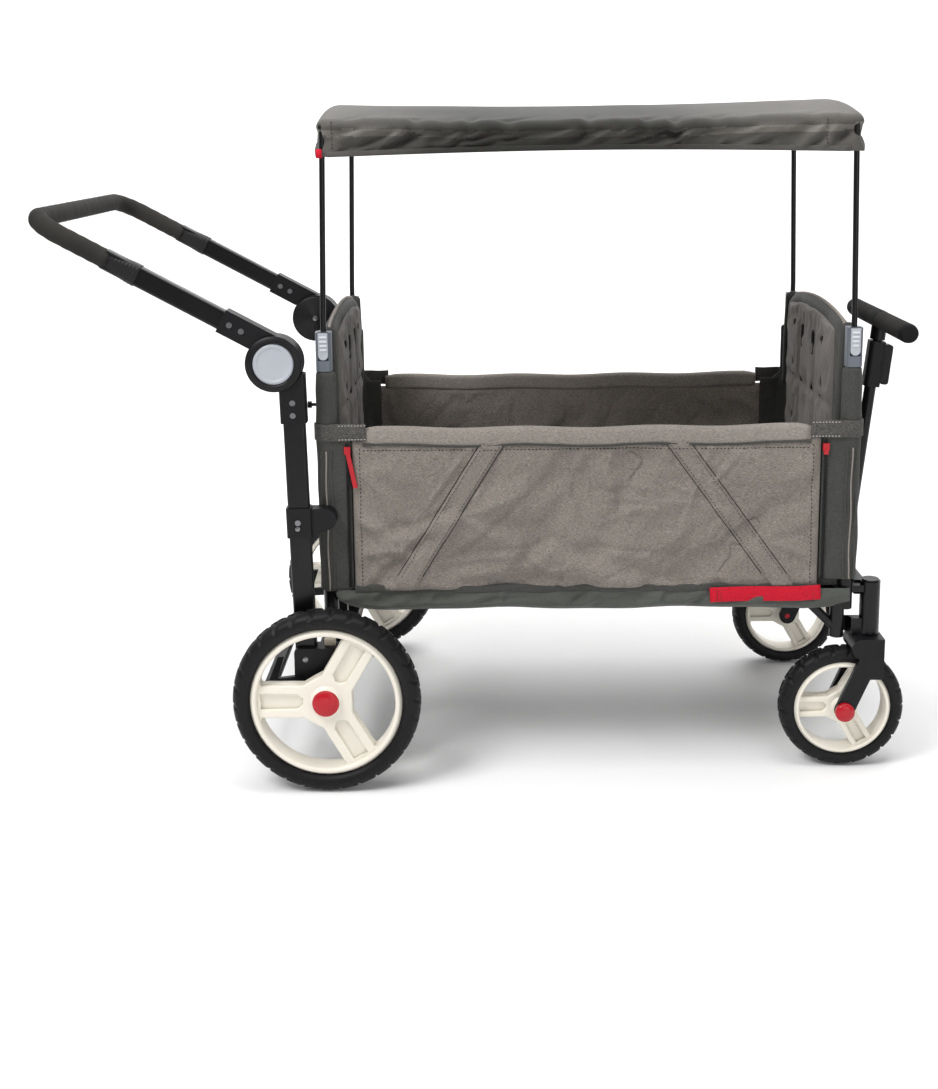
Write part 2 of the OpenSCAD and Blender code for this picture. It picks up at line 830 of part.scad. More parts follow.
module front_rim(s) {
    color(rim_cream) on_side(s) translate([front_x, front_y, front_wheel_r])
        wheel_rim(front_wheel_r - 22.5, front_tyre_w, 20, 24, 5 + fit_gap, 36, 180);
}

module front_tyre_left() { front_tyre(1); }
module front_tyre_right() { front_tyre(-1); }
module front_rim_left() { front_rim(1); }
module front_rim_right() { front_rim(-1); }

// ---------- casters ----------

// fork: two slanted legs, a crown with a rounded back and the stem in the head tube
module fork(s) {
    leg_in = front_tyre_w / 2 + 3.5;
    leg_out = leg_in + 8;
    crown_z0 = front_wheel_r + 106.5;
    crown_z1 = 224;
    color(plastic_black) on_side(s) translate([caster_x, front_y, 0]) difference() {
        union() {
            for (side = [-1, 1]) {
                low = side > 0 ? leg_in : -leg_out;
                slab_y(low, low + 8) leg_outline();
                slab_y(low, low + 8) {
                    translate([0, 190]) square([38, 2 * (crown_z1 - 190)], center = true);
                    circle_at([-16, 207], 17);
                }
            }
            translate([0, 0, crown_z0]) linear_extrude(crown_z1 - crown_z0)
                round_rect(38, 2 * leg_out, 6);
            slab_y(-leg_out, leg_out) difference() {
                circle_at([-16, 207], 17);
                translate([-40, 180]) square([80, crown_z0 - 180]);
            }
            rod_z(8, crown_z0, 303);
        }
        translate([-caster_trail, 0, front_wheel_r]) rod_y(5 + fit_gap, -60, 60);
        translate([-60, -60, 0]) cube([120, 120, 60]);
    }
}

module leg_outline() {
    low = [-caster_trail, front_wheel_r];
    high = [-6, 186];
    d = (high - low) / norm(high - low);
    side = 15 * [-d[1], d[0]];
    circle_at(low, 15);
    polygon([low + side, low - side, high - side, high + side]);
}

module fork_left() { fork(1); }
module fork_right() { fork(-1); }

// axle pin of a caster with its red cap
module caster_pin(s) {
    leg_out = front_tyre_w / 2 + 11.5;
    color(signal_red) on_side(s) translate([front_x, front_y, front_wheel_r]) {
        rod_y(5, -leg_out + 1, leg_out + 1);
        rod_y(15.5, leg_out, leg_out + 5);
        rod_y(9, leg_out + 4.5, leg_out + 8);
    }
}

module caster_pin_left() { caster_pin(1); }
module caster_pin_right() { caster_pin(-1); }

// tubes that the fork stems turn in, with the links to the front frame
module head_tubes() {
    color(satin_black) both_sides() difference() {
        union() {
            translate([caster_x, front_y, 0]) {
                rod_z(16, 226, 314);
                rod_z(13.5, 313, 317);
            }
            span_box([front_leg_x, front_y - 8, 226], [caster_x, front_y + 8, 252]);
            span_box([front_up_x, front_y - head_arm_half, 297],
                [caster_x, front_y + head_arm_half, 308]);
        }
        translate([caster_x, front_y, 0]) rod_z(8 + fit_gap, 220, 304.5);
        translate([front_leg_x, up_y, 0]) rod_z(11.5, 200, 296);
        translate([front_up_x, up_y, 0]) rod_z(upright_r, 200, 400);
    }
}

// beam between the head tubes with the bracket that the pull handle pivots on
module front_cross_beam() {
    dx = pull_x - beam_x;
    end_y = front_y - head_arm_half;
    color(satin_black) difference() {
        union() {
            difference() {
                translate([beam_x, 0, beam_z - 12]) slab_y(-end_y, end_y) round_rect(22, 24, 4);
                translate([beam_x, 0, beam_z - 12]) slab_y(-end_y - 1, end_y + 1)
                    round_rect(22 - 2 * tube_wall, 24 - 2 * tube_wall, 2.5);
            }
            both_sides() translate([beam_x, 0, 0]) slab_y(13.5, 19) {
                circle_at([dx, pull_z], 12);
                polygon([[-9, beam_z - 22], [dx - 8, pull_z - 9], [dx + 10, pull_z + 6],
                    [14, beam_z - 6], [9, beam_z - 2]]);
            }
            translate([pull_x, 0, pull_z]) rod_y(6, -18, 18);
        }
        both_sides() translate([caster_x, front_y, 0]) rod_z(16, 200, 400);
    }
}

// ---------- pull handle ----------

module pull_frame() {
    translate([pull_x, 0, pull_z]) rotate([0, pull_lean, 0]) children();
}

module pull_tube() {
    color(satin_black) pull_frame() difference() {
        union() {
            rod_z(pull_tube_r, 0, housing_z0 + 40);
            rod_y(12, -13, 13);
        }
        rod_z(pull_stem_r + 0.3, 40, 500);
        rod_y(6 + fit_gap, -20, 20);
        trigger_window();
    }
}

// opening through the tube and its collar, in which the trigger presses on the stem's lock
module trigger_window() {
    span_box([trigger_seat_x, -9.5, housing_z0 + 4], [40, 9.5, housing_z1 - 3]);
}

// collar around the top of the tube, with a window for the release trigger
module pull_housing() {
    color(plastic_black) pull_frame() difference() {
        translate([0, 0, housing_z0]) linear_extrude(housing_z1 - housing_z0) round_rect(28, 30, 8);
        rod_z(pull_tube_r, housing_z0 - 1, housing_z0 + 40);
        rod_z(pull_stem_r + 0.3, housing_z0, housing_z1 + 1);
        trigger_window();
    }
}

module release_trigger() {
    color(plastic_black) pull_frame() {
        translate([20, 0, (housing_z0 + housing_z1) / 2 + 0.5]) slab_y(-9, 9)
            round_rect(15, housing_z1 - housing_z0 - 9, 5);
    }
}

// inner tube with the T-shaped top
module pull_stem() {
    color(satin_black) pull_frame() {
        difference() {
            union() {
                rod_z(pull_stem_r, 92, pull_length - 20);
                rod_z(13, housing_z1 + 3, pull_length - 10);
                translate([0, 0, pull_length]) {
                    rod_y(9, -pull_grip_w / 2 + 6, pull_grip_w / 2 - 6);
                    rod_y(pull_grip_r, -14, 14);
                }
            }
            rod_z(pull_stem_r - tube_wall, 90, housing_z1);
        }
    }
}

module pull_grips() {
    color(foam_black) pull_frame() translate([0, 0, pull_length]) both_sides() difference() {
        rod_y(pull_grip_r, 14.5, pull_grip_w / 2);
        rod_y(9, 10, pull_grip_w / 2 - 6);
    }
}

// ---------- brake ----------

// foot bar between two slanted arms, on a cross rod that turns in the axle housings
module brake_pedal() {
    color(plastic_black) translate([brake_x, 0, rear_wheel_r]) {
        rod_y(axle_r, -housing_in_y - 6, housing_in_y + 6);
        both_sides() slab_y(222, 230)
            polygon([[7, 8], [7, -8], [-66, -12], [-72, -6], [-54, 40], [-44, 40], [-56, 2], [-8, 8]]);
        translate([-66, 0, -5]) slab_y(-231, 231) round_rect(22, 11, 4);
    }
}

rear_end_frame();
handle_posts();
post_clamps();
rear_axle_beam();
axle_housings();
hub_bases();
post_rivets();
rear_end_panel();
rear_corner_sleeves();
rear_pole_clips();
bottom_skirt();
side_panel_left();
rear_floor_frame();
rear_floor_mat();
front_floor_frame();
front_floor_mat();
front_end_frame();
head_tubes();
front_cross_beam();
front_end_panel();
front_corner_sleeves();
front_pole_clips();
fold_strap();
fork_left();
fork_right();
caster_pin_left();
caster_pin_right();
front_rim_left();
front_rim_right();
front_tyre_left();
front_tyre_right();
rear_rim_left();
rear_rim_right();
rear_tyre_left();
rear_tyre_right();
rear_axle_left();
rear_axle_right();
handle_tube();
foam_grip();
grip_sleeves();
arm_brackets();
arm_rivets();
hub_button_left();
hub_button_right();
pull_tube();
pull_housing();
pull_stem();
pull_grips();
release_trigger();
brake_pedal();
rear_canopy_hoop();
front_canopy_hoop();
canopy_cover();
clip_button_rear_left();
clip_button_rear_right();
clip_button_front_left();
clip_button_front_right();
zip_pull_rear();
zip_pull_front();
side_panel_right();
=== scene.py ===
import json
import math
import random

import bmesh
import bpy
from mathutils import Matrix, Vector
from mathutils.bvhtree import BVHTree


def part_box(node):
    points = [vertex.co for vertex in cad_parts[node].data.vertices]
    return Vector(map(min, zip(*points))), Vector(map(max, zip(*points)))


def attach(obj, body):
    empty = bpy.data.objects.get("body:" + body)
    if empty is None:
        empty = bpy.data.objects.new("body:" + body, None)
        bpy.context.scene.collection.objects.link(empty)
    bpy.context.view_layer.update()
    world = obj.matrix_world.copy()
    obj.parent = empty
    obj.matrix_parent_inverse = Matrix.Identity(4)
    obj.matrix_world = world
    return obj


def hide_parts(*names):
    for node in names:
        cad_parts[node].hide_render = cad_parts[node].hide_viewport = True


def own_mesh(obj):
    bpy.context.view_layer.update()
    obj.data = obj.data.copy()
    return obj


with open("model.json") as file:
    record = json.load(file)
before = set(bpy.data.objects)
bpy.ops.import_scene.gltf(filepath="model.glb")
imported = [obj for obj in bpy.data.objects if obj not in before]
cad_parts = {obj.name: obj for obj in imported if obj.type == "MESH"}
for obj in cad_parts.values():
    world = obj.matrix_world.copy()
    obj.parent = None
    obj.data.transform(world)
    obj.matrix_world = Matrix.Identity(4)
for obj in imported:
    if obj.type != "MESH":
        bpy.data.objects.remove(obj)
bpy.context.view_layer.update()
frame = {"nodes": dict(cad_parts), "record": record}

scene = bpy.context.scene
dice = random.Random(7)

# ---------- camera, at the photograph's viewing angle ----------

CAMERA_AT = Vector((0.0198, -2.4066, 1.0476))
CAMERA_YAW = -0.0196
CAMERA_PITCH = 0.1767
CAMERA_ROLL = -0.0122
SENSOR_MM = 36.0
LENS_MM = 46.28
SHIFT_Y = -0.1563


def make_camera():
    forward = Vector((math.sin(CAMERA_YAW) * math.cos(CAMERA_PITCH),
                      math.cos(CAMERA_YAW) * math.cos(CAMERA_PITCH), -math.sin(CAMERA_PITCH)))
    level = Vector((math.cos(CAMERA_YAW), -math.sin(CAMERA_YAW), 0))
    upright = level.cross(forward)
    right = math.cos(CAMERA_ROLL) * level + math.sin(CAMERA_ROLL) * upright
    up = -math.sin(CAMERA_ROLL) * level + math.cos(CAMERA_ROLL) * upright
    data = bpy.data.cameras.new("camera")
    data.sensor_fit = "AUTO"
    data.sensor_width = SENSOR_MM
    data.lens = LENS_MM
    data.shift_y = SHIFT_Y
    camera = bpy.data.objects.new("camera", data)
    scene.collection.objects.link(camera)
    turn = Matrix((right, up, -forward)).transposed().to_4x4()
    camera.matrix_world = Matrix.Translation(CAMERA_AT) @ turn
    scene.camera = camera


make_camera()

# ---------- places, read from the frame ----------


def middle(node):
    low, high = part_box(node)
    return (low + high) / 2


rear_post_x = middle("rear_pole_clips").x
front_post_x = middle("front_pole_clips").x
post_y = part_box("rear_canopy_hoop")[1].y - 0.0045
zip_rear_x = rear_post_x + 0.0405
zip_front_x = front_post_x - 0.0475
side_in_y = post_y + 0.0025
side_out_y = post_y + 0.0125
hem_top_z = 0.577
hem_h = 0.030
door_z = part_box("side_panel_left")[0].z
end_low, end_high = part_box("rear_end_panel")
cover_low, cover_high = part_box("canopy_cover")

# ---------- materials ----------


def new_material(name, colour, rough, metal=0.0):
    m = bpy.data.materials.new(name)
    m.use_nodes = True
    shader = m.node_tree.nodes["Principled BSDF"]
    shader.inputs["Base Color"].default_value = (*colour, 1)
    shader.inputs["Roughness"].default_value = rough
    shader.inputs["Metallic"].default_value = metal
    return m, m.node_tree, shader


def add(tree, kind, **values):
    n = tree.nodes.new(kind)
    for key, value in values.items():
        if key in n.inputs:
            n.inputs[key].default_value = value
        else:
            setattr(n, key, value)
    return n


def noise_at(tree, scale, detail=3.0, stretch=None):
    place = add(tree, "ShaderNodeTexCoord")
    out = place.outputs["Object"]
    if stretch:
        mapping = add(tree, "ShaderNodeMapping", Scale=stretch)
        tree.links.new(out, mapping.inputs["Vector"])
        out = mapping.outputs["Vector"]
    tex = add(tree, "ShaderNodeTexNoise", Scale=scale, Detail=detail)
    tree.links.new(out, tex.inputs["Vector"])
    return tex.outputs["Fac"]


def ramp(tree, value, stops):
    r = add(tree, "ShaderNodeValToRGB")
    r.color_ramp.elements[0].position = stops[0][0]
    r.color_ramp.elements[0].color = (*stops[0][1], 1)
    r.color_ramp.elements[1].position = stops[-1][0]
    r.color_ramp.elements[1].color = (*stops[-1][1], 1)
    for where, colour in stops[1:-1]:
        e = r.color_ramp.elements.new(where)
        e.color = (*colour, 1)
    tree.links.new(value, r.inputs["Fac"])
    return r.outputs["Color"]


def mixed(tree, a, b, share, blend="MIX"):
    m = add(tree, "ShaderNodeMix", data_type="RGBA", blend_type=blend)
    for socket, value in ((6, a), (7, b)):
        if isinstance(value, tuple):
            m.inputs[socket].default_value = (*value, 1)
        else:
            tree.links.new(value, m.inputs[socket])
    if isinstance(share, float):
        m.inputs[0].default_value = share
    else:
        tree.links.new(share, m.inputs[0])
    return m.outputs[2]


def shade(colour, k):
    return tuple(min(1.0, c * k) for c in colour)


def bumped(tree, shader, height, strength, distance):
    b = add(tree, "ShaderNodeBump", Strength=strength, Distance=distance)
    tree.links.new(height, b.inputs["Height"])
    tree.links.new(b.outputs["Normal"], shader.inputs["Normal"])


def weave_height(tree, pitch):
    """Crossed threads of the given pitch, in metres, for a bump."""
    place = add(tree, "ShaderNodeTexCoord")
    scale = 2 * math.pi / (20 * pitch)
    bands = []
    for axis in ("X", "Z"):
        w = add(tree, "ShaderNodeTexWave", wave_type="BANDS", bands_direction=axis,
                Scale=scale, Distortion=1.2)
        tree.links.new(place.outputs["Object"], w.inputs["Vector"])
        bands.append(w.outputs["Fac"])
    top = add(tree, "ShaderNodeMath", operation="MAXIMUM")
    tree.links.new(bands[0], top.inputs[0])
    tree.links.new(bands[1], top.inputs[1])
    return top.outputs[0]


def fabric(name, colour, speckle=0.42, pitch=0.0022, rough=0.9, sheen=0.12, fleck=620.0):
    """Woven cloth with heather flecks, broad fading and crossed threads."""
    m, tree, shader = new_material(name, colour, rough)
    shader.inputs["Specular IOR Level"].default_value = 0.15
    fine = noise_at(tree, fleck, 5.0, stretch=(0.45, 1.0, 2.2))
    flecks = ramp(tree, fine, [(0.34, shade(colour, 1 - speckle)), (0.5, colour),
                               (0.68, shade(colour, 1 + speckle))])
    broad = ramp(tree, noise_at(tree, 7.0, 2.0), [(0.3, (0.86, 0.86, 0.86)), (0.7, (1.0, 1.0, 1.0))])
    tree.links.new(mixed(tree, flecks, broad, 1.0, "MULTIPLY"), shader.inputs["Base Color"])
    bumped(tree, shader, weave_height(tree, pitch), 0.35, 0.0006)
    shader.inputs["Sheen Weight"].default_value = sheen
    shader.inputs["Sheen Roughness"].default_value = 0.5
    return m


def moulded(name, colour, rough, grain=900.0, depth=0.0002, coat=0.0, worn=1.5, shine=0.5):
    """Moulded plastic or rubber with a fine grain and slightly uneven gloss."""
    m, tree, shader = new_material(name, colour, rough)
    shader.inputs["Specular IOR Level"].default_value = shine
    tone = ramp(tree, noise_at(tree, 14.0, 5.0), [(0.3, shade(colour, 0.88)), (0.75, shade(colour, worn))])
    tree.links.new(mixed(tree, colour, tone, 0.5), shader.inputs["Base Color"])
    gloss = add(tree, "ShaderNodeMapRange")
    gloss.inputs["To Min"].default_value = rough * 0.88
    gloss.inputs["To Max"].default_value = min(1.0, rough * 1.15)
    tree.links.new(noise_at(tree, 35.0, 4.0), gloss.inputs["Value"])
    tree.links.new(gloss.outputs["Result"], shader.inputs["Roughness"])
    bumped(tree, shader, noise_at(tree, grain, 2.0), 0.3, depth)
    shader.inputs["Coat Weight"].default_value = coat
    shader.inputs["Coat Roughness"].default_value = 0.12
    return m


def coated(name, colour, rough):
    """Powder-coated steel: orange-peel bump and dust."""
    m, tree, shader = new_material(name, colour, rough)
    dust = ramp(tree, noise_at(tree, 22.0, 6.0), [(0.45, colour), (0.85, shade(colour, 2.2))])
    tree.links.new(dust, shader.inputs["Base Color"])
    bumped(tree, shader, noise_at(tree, 520.0, 2.0), 0.25, 0.0002)
    shader.inputs["Specular IOR Level"].default_value = 0.30
    return m


def webbing(name, colour):
    """Flat webbing: ribs across its length."""
    m, tree, shader = new_material(name, colour, 0.65)
    shader.inputs["Specular IOR Level"].default_value = 0.2
    flecks = ramp(tree, noise_at(tree, 500.0, 3.0), [(0.3, shade(colour, 0.7)), (0.7, shade(colour, 1.15))])
    tree.links.new(flecks, shader.inputs["Base Color"])
    bumped(tree, shader, weave_height(tree, 0.0018), 0.5, 0.0006)
    return m


STEEL = coated("satin_black_steel", (0.0025, 0.0025, 0.003), 0.28)
PLASTIC = moulded("black_plastic", (0.006, 0.006, 0.007), 0.42, shine=0.22)
SOFT_PLASTIC = moulded("sleeve_rubber", (0.010, 0.010, 0.011), 0.45, shine=0.25)
CAP_RUBBER = moulded("end_cap_rubber", (0.010, 0.010, 0.011), 0.85, grain=420.0, depth=0.0004, shine=0.15)
FOAM = moulded("grip_foam", (0.024, 0.022, 0.020), 0.85, grain=420.0, depth=0.0006, shine=0.15)
RIM = moulded("rim_plastic", (0.80, 0.755, 0.66), 0.36, depth=0.00008, worn=1.03)
TYRE = moulded("tyre_rubber", (0.004, 0.004, 0.0045), 0.5, grain=300.0, depth=0.0004, worn=2.2, shine=0.22)
RED = moulded("red_plastic", (0.42, 0.004, 0.012), 0.26, depth=0.00005, coat=0.12, worn=1.1, shine=0.35)
SILVER = moulded("silver_plastic", (0.40, 0.42, 0.46), 0.34, depth=0.00008, worn=1.1)
CLIP = moulded("clip_plastic", (0.11, 0.125, 0.15), 0.4, depth=0.0001, worn=1.2)
CLIP_LIGHT = moulded("clip_ridge", (0.62, 0.64, 0.67), 0.3, depth=0.00005, worn=1.05)
CREAM = moulded("cream_tab", (0.55, 0.50, 0.40), 0.5, worn=1.05)
ZINC = new_material("zinc_steel", (0.22, 0.22, 0.23), 0.3, 1.0)[0]
TAUPE = fabric("taupe_heather", (0.215, 0.190, 0.168))
# Light taupe face cloth, coloured darker than the taupe walls as painted shade.
TAUPE_FACE_SHADED = fabric("taupe_face_painted_shade", (0.175, 0.160, 0.148), speckle=0.30)
TAUPE_HEM = fabric("taupe_hem", (0.265, 0.238, 0.213), speckle=0.3)
CHARCOAL = fabric("charcoal_cloth", (0.060, 0.060, 0.056), speckle=0.25)
NYLON = fabric("skirt_nylon", (0.080, 0.085, 0.076), speckle=0.12, pitch=0.0012, rough=0.62, sheen=0.1)
CANOPY = fabric("canopy_cloth", (0.112, 0.105, 0.096), speckle=0.14, pitch=0.0012, rough=0.7)
CANOPY_BAND = fabric("canopy_band", (0.20, 0.185, 0.168), speckle=0.14, pitch=0.0012, rough=0.7)
CANOPY_MID_X = (cover_low.x + cover_high.x) / 2


def painted_shade_to_middle(material):
    """Painted shade: darker cloth towards the middle of the roof, broken up by noise."""
    tree = material.node_tree
    shader = tree.nodes["Principled BSDF"]
    old = shader.inputs["Base Color"].links[0].from_socket
    place = add(tree, "ShaderNodeTexCoord")
    parts = add(tree, "ShaderNodeSeparateXYZ")
    tree.links.new(place.outputs["Object"], parts.inputs["Vector"])
    reach = add(tree, "ShaderNodeMapRange")
    reach.inputs["From Min"].default_value = CANOPY_MID_X - 0.43
    reach.inputs["From Max"].default_value = CANOPY_MID_X + 0.43
    tree.links.new(parts.outputs["X"], reach.inputs["Value"])
    drift = add(tree, "ShaderNodeMath", operation="MULTIPLY_ADD")
    drift.inputs[1].default_value = 0.22
    tree.links.new(noise_at(tree, 9.0, 3.0), drift.inputs[0])
    tree.links.new(reach.outputs["Result"], drift.inputs[2])
    # Painted shade: this ramp darkens the middle of the roof's length and leaves its ends light.
    tone = ramp(tree, drift.outputs[0], [(0.10, (0.95, 0.95, 0.95)), (0.40, (0.22, 0.23, 0.22)),
                                         (0.70, (0.27, 0.28, 0.27)), (0.98, (0.85, 0.85, 0.85))])
    tree.links.new(mixed(tree, old, tone, 1.0, "MULTIPLY"), shader.inputs["Base Color"])


# Painted shade darkens both canopy cloths towards the middle of the roof.
painted_shade_to_middle(CANOPY)
painted_shade_to_middle(CANOPY_BAND)
STRAP = fabric("strap_heather", (0.085, 0.080, 0.075), speckle=0.6, rough=0.85)
WEB_RED = webbing("red_webbing", (0.56, 0.006, 0.025))
WEB_BLACK = webbing("black_webbing", (0.008, 0.008, 0.010))
THREAD = moulded("thread_light", (0.42, 0.40, 0.37), 0.8)
THREAD_DARK = moulded("thread_dark", (0.02, 0.02, 0.02), 0.8)

# ---------- mesh tools ----------


def make_object(name, verts, faces, material, body, smooth=True):
    mesh = bpy.data.meshes.new(name)
    mesh.from_pydata([tuple(v) for v in verts], [], faces)
    mesh.validate()
    mesh.update()
    obj = bpy.data.objects.new(name, mesh)
    scene.collection.objects.link(obj)
    b = bmesh.new()
    b.from_mesh(mesh)
    bmesh.ops.remove_doubles(b, verts=b.verts, dist=1e-6)
    bmesh.ops.recalc_face_normals(b, faces=b.faces)
    b.to_mesh(mesh)
    b.free()
    mesh.materials.append(material)
    for p in mesh.polygons:
        p.use_smooth = smooth
    if body:
        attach(obj, body)
    return obj


def soften(obj, width, segments=2, angle=35):
    m = obj.modifiers.new("edges", "BEVEL")
    m.width = width
    m.segments = segments
    m.limit_method = "ANGLE"
    m.angle_limit = math.radians(angle)
    m.harden_normals = False
    for p in obj.data.polygons:
        p.use_smooth = True
    w = obj.modifiers.new("normals", "WEIGHTED_NORMAL")
    w.keep_sharp = True
    return obj


def subdivide(obj, levels=1):
    m = obj.modifiers.new("smooth", "SUBSURF")
    m.levels = levels
    m.render_levels = levels
    return obj


def loft(name, rings, material, body, closed=True, caps=True):
    """Skin over a list of rings with the same number of points."""
    count = len(rings[0])
    verts = [p for ring in rings for p in ring]
    faces = []
    span = count if closed else count - 1
    for i in range(len(rings) - 1):
        for j in range(span):
            a = i * count + j
            b = i * count + (j + 1) % count
            faces.append((a, b, b + count, a + count))
    if caps and closed:
        faces.append(tuple(range(count)))
        faces.append(tuple(range((len(rings) - 1) * count, len(rings) * count)))
    return make_object(name, verts, faces, material, body)


def lathe(name, profile, at, material, body, axis=1, steps=64):
    """Profile of (radius, offset along the axis), turned about one of the frame's axes."""
    rings = []
    for radius, along in profile:
        ring = []
        for k in range(steps):
            a = 2 * math.pi * k / steps
            p = [radius * math.cos(a), radius * math.sin(a)]
            p.insert(axis, along)
            ring.append(Vector(p) + Vector(at))
        rings.append(ring)
    obj = loft(name, rings, material, body)
    obj.modifiers.new("edges", "EDGE_SPLIT").split_angle = math.radians(40)
    return obj


def rounded_section(w, h, r, steps=6):
    """Points of a rounded rectangle, w wide and h high."""
    points = []
    for k, (sx, sy) in enumerate(((1, 1), (-1, 1), (-1, -1), (1, -1))):
        for i in range(steps + 1):
            a = math.pi / 2 * (k + i / steps)
            points.append((sx * (w / 2 - r) + r * math.cos(a), sy * (h / 2 - r) + r * math.sin(a)))
    return points


def sweep(name, path, section, material, body, up=Vector((0, 0, 1)), closed_path=False):
    """section(t) gives (side, up) points in a plane across the path."""
    rings = []
    last = len(path) - 1
    for i, p in enumerate(path):
        ahead = path[(i + 1) % len(path)] if closed_path else path[min(i + 1, last)]
        behind = path[i - 1] if closed_path else path[max(i - 1, 0)]
        along = (ahead - behind).normalized()
        side = along.cross(up).normalized()
        top = side.cross(along).normalized()
        rings.append([p + side * s + top * u for s, u in section(i / max(1, last))])
    if closed_path:
        rings.append(rings[0])
    return loft(name, rings, material, body, caps=not closed_path)


def circle_section(r, steps=16):
    return [(r * math.cos(2 * math.pi * k / steps), r * math.sin(2 * math.pi * k / steps))
            for k in range(steps)]


def tube(name, path, r, material, body, up=Vector((0, 0, 1)), closed_path=False, steps=14):
    section = circle_section(r, steps)
    return sweep(name, path, lambda t: section, material, body, up, closed_path)


def pillow(name, place, out, half, material, body, nu, nv):
    """Closed pad: place(u, v) is its middle surface, out its thickness direction, half(u, v) the half
    thicknesses on the out side and on the other side."""
    verts = []
    faces = []
    for sign in (1, -1):
        for i in range(nu + 1):
            for j in range(nv + 1):
                u, v = i / nu, j / nv
                front, back = half(u, v)
                verts.append(place(u, v) + out * (front if sign > 0 else -back))
    layer = (nu + 1) * (nv + 1)
    for base in (0, layer):
        for i in range(nu):
            for j in range(nv):
                a = base + i * (nv + 1) + j
                faces.append((a, a + 1, a + nv + 2, a + nv + 1))
    edge = ([(i, 0) for i in range(nu)] + [(nu, j) for j in range(nv)]
            + [(i, nv) for i in range(nu, 0, -1)] + [(0, j) for j in range(nv, 0, -1)])
    for k, (i, j) in enumerate(edge):
        i2, j2 = edge[(k + 1) % len(edge)]
        a = i * (nv + 1) + j
        b = i2 * (nv + 1) + j2
        faces.append((a, b, b + layer, a + layer))
    return make_object(name, verts, faces, material, body)


def edge_round(u, v, du, dv):
    """0 at the pad's edge, 1 once du or dv inside it, in a round shape."""
    d = min(min(u, 1 - u) / du, min(v, 1 - v) / dv, 1)
    return math.sqrt(1 - (1 - d) ** 2)


def relax_cloth(obj, pin, slack=0.03, pressure=3.0, cap=0.008, frames=18):
    """Cloth simulation of slack fabric held where pin(co) is 1; no point moves more than cap."""
    group = obj.vertex_groups.new(name="held")
    rest = [v.co.copy() for v in obj.data.vertices]
    for i, co in enumerate(rest):
        w = pin(co)
        if w > 0:
            group.add([i], w, "REPLACE")
    cloth = obj.modifiers.new("cloth", "CLOTH")
    st = cloth.settings
    st.quality = 6
    st.mass = 0.15
    st.tension_stiffness = 12
    st.compression_stiffness = 12
    st.shear_stiffness = 6
    st.bending_stiffness = 0.25
    st.vertex_group_mass = "held"
    st.pin_stiffness = 2.0
    st.shrink_min = -slack
    st.use_pressure = pressure > 0
    st.uniform_pressure_force = pressure
    st.effector_weights.gravity = 0.0
    cloth.point_cache.frame_start = 1
    cloth.point_cache.frame_end = frames
    for f in range(1, frames + 1):
        scene.frame_set(f)
    solved = obj.evaluated_get(bpy.context.evaluated_depsgraph_get())
    moved = [v.co.copy() for v in solved.data.vertices]
    obj.modifiers.remove(cloth)
    for v, a, b in zip(obj.data.vertices, rest, moved):
        step = b - a
        if step.length > cap:
            step = step.normalized() * cap
        v.co = a + step
    obj.data.update()
    scene.frame_set(1)


def freeze(obj):
    """Bake the modifiers into the mesh."""
    solved = obj.evaluated_get(bpy.context.evaluated_depsgraph_get())
    mesh = bpy.data.meshes.new_from_object(solved)
    obj.modifiers.clear()
    obj.data = mesh


def make_folds(count, x_range, z_range, lean, length, width, depth):
    """Random soft creases: place, direction, half length, half width and height of each."""
    folds = []
    for _ in range(count):
        angle = dice.gauss(*lean)
        folds.append((dice.uniform(*x_range), dice.uniform(*z_range), math.cos(angle), math.sin(angle),
                      dice.uniform(*length), dice.uniform(*width),
                      dice.uniform(*depth) * dice.choice((-1, 1))))
    return folds


def folds_at(folds, x, z):
    h = 0.0
    for fx, fz, c, s, length, width, depth in folds:
        along = ((x - fx) * c + (z - fz) * s) / length
        across = ((z - fz) * c - (x - fx) * s) / width
        far = along * along + across * across
        if far < 7:
            h += depth * math.exp(-far)
    return h


def surface_of(obj):
    mesh = obj.data
    return BVHTree.FromPolygons([v.co for v in mesh.vertices], [tuple(p.vertices) for p in mesh.polygons])


def on_surface(tree, x, z, sign, lift=0.0):
    """Point on the outside of a side wall, seen along Y."""
    hit = tree.ray_cast(Vector((x, sign * 0.4, z)), Vector((0, -sign, 0)))[0]
    return hit + Vector((0, sign * lift, 0)) if hit else Vector((x, sign * side_out_y, z))


def dashes(name, path, normal, material, body, pitch=0.006, length=0.0038, width=0.0009):
    """A row of stitches along a path, standing a little out of the cloth along normal."""
    verts = []
    faces = []
    travelled = 0.0
    for a, b in zip(path, path[1:]):
        span = (b - a).length
        along = (b - a).normalized()
        side = along.cross(normal).normalized() * width
        while travelled < span:
            start = a + along * travelled
            end = start + along * min(length, span)
            base = len(verts)
            lift = normal * width * 0.8
            for p, grow in ((start, 0.4), (start.lerp(end, 0.5), 1.0), (end, 0.4)):
                verts += [p - side * grow, p + lift * grow, p + side * grow, p - lift * 0.5]
            for k in (0, 4):
                for j in range(4):
                    faces.append((base + k + j, base + k + (j + 1) % 4,
                                  base + k + 4 + (j + 1) % 4, base + k + 4 + j))
            faces.append((base, base + 1, base + 2, base + 3))
            faces.append((base + 8, base + 9, base + 10, base + 11))
            travelled += pitch
        travelled -= span
    return make_object(name, verts, faces, material, body)


def folds_with_frame(obj):
    """Give the object its own copy of its mesh data."""
    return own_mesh(obj)


def screw(name, at, out, material, body, r=0.0042):
    """Domed head of a cross-head screw, drawn without its cross, lying in the plane whose outward normal is
    along Y.
    """
    sign = 1 if out > 0 else -1
    head = lathe(name, [(0.0005, 0.0016 * sign), (r * 0.55, 0.0015 * sign), (r * 0.9, 0.0009 * sign), (r, 0)],
                 at, material, body, steps=20)
    return head


# ---------- wheels ----------


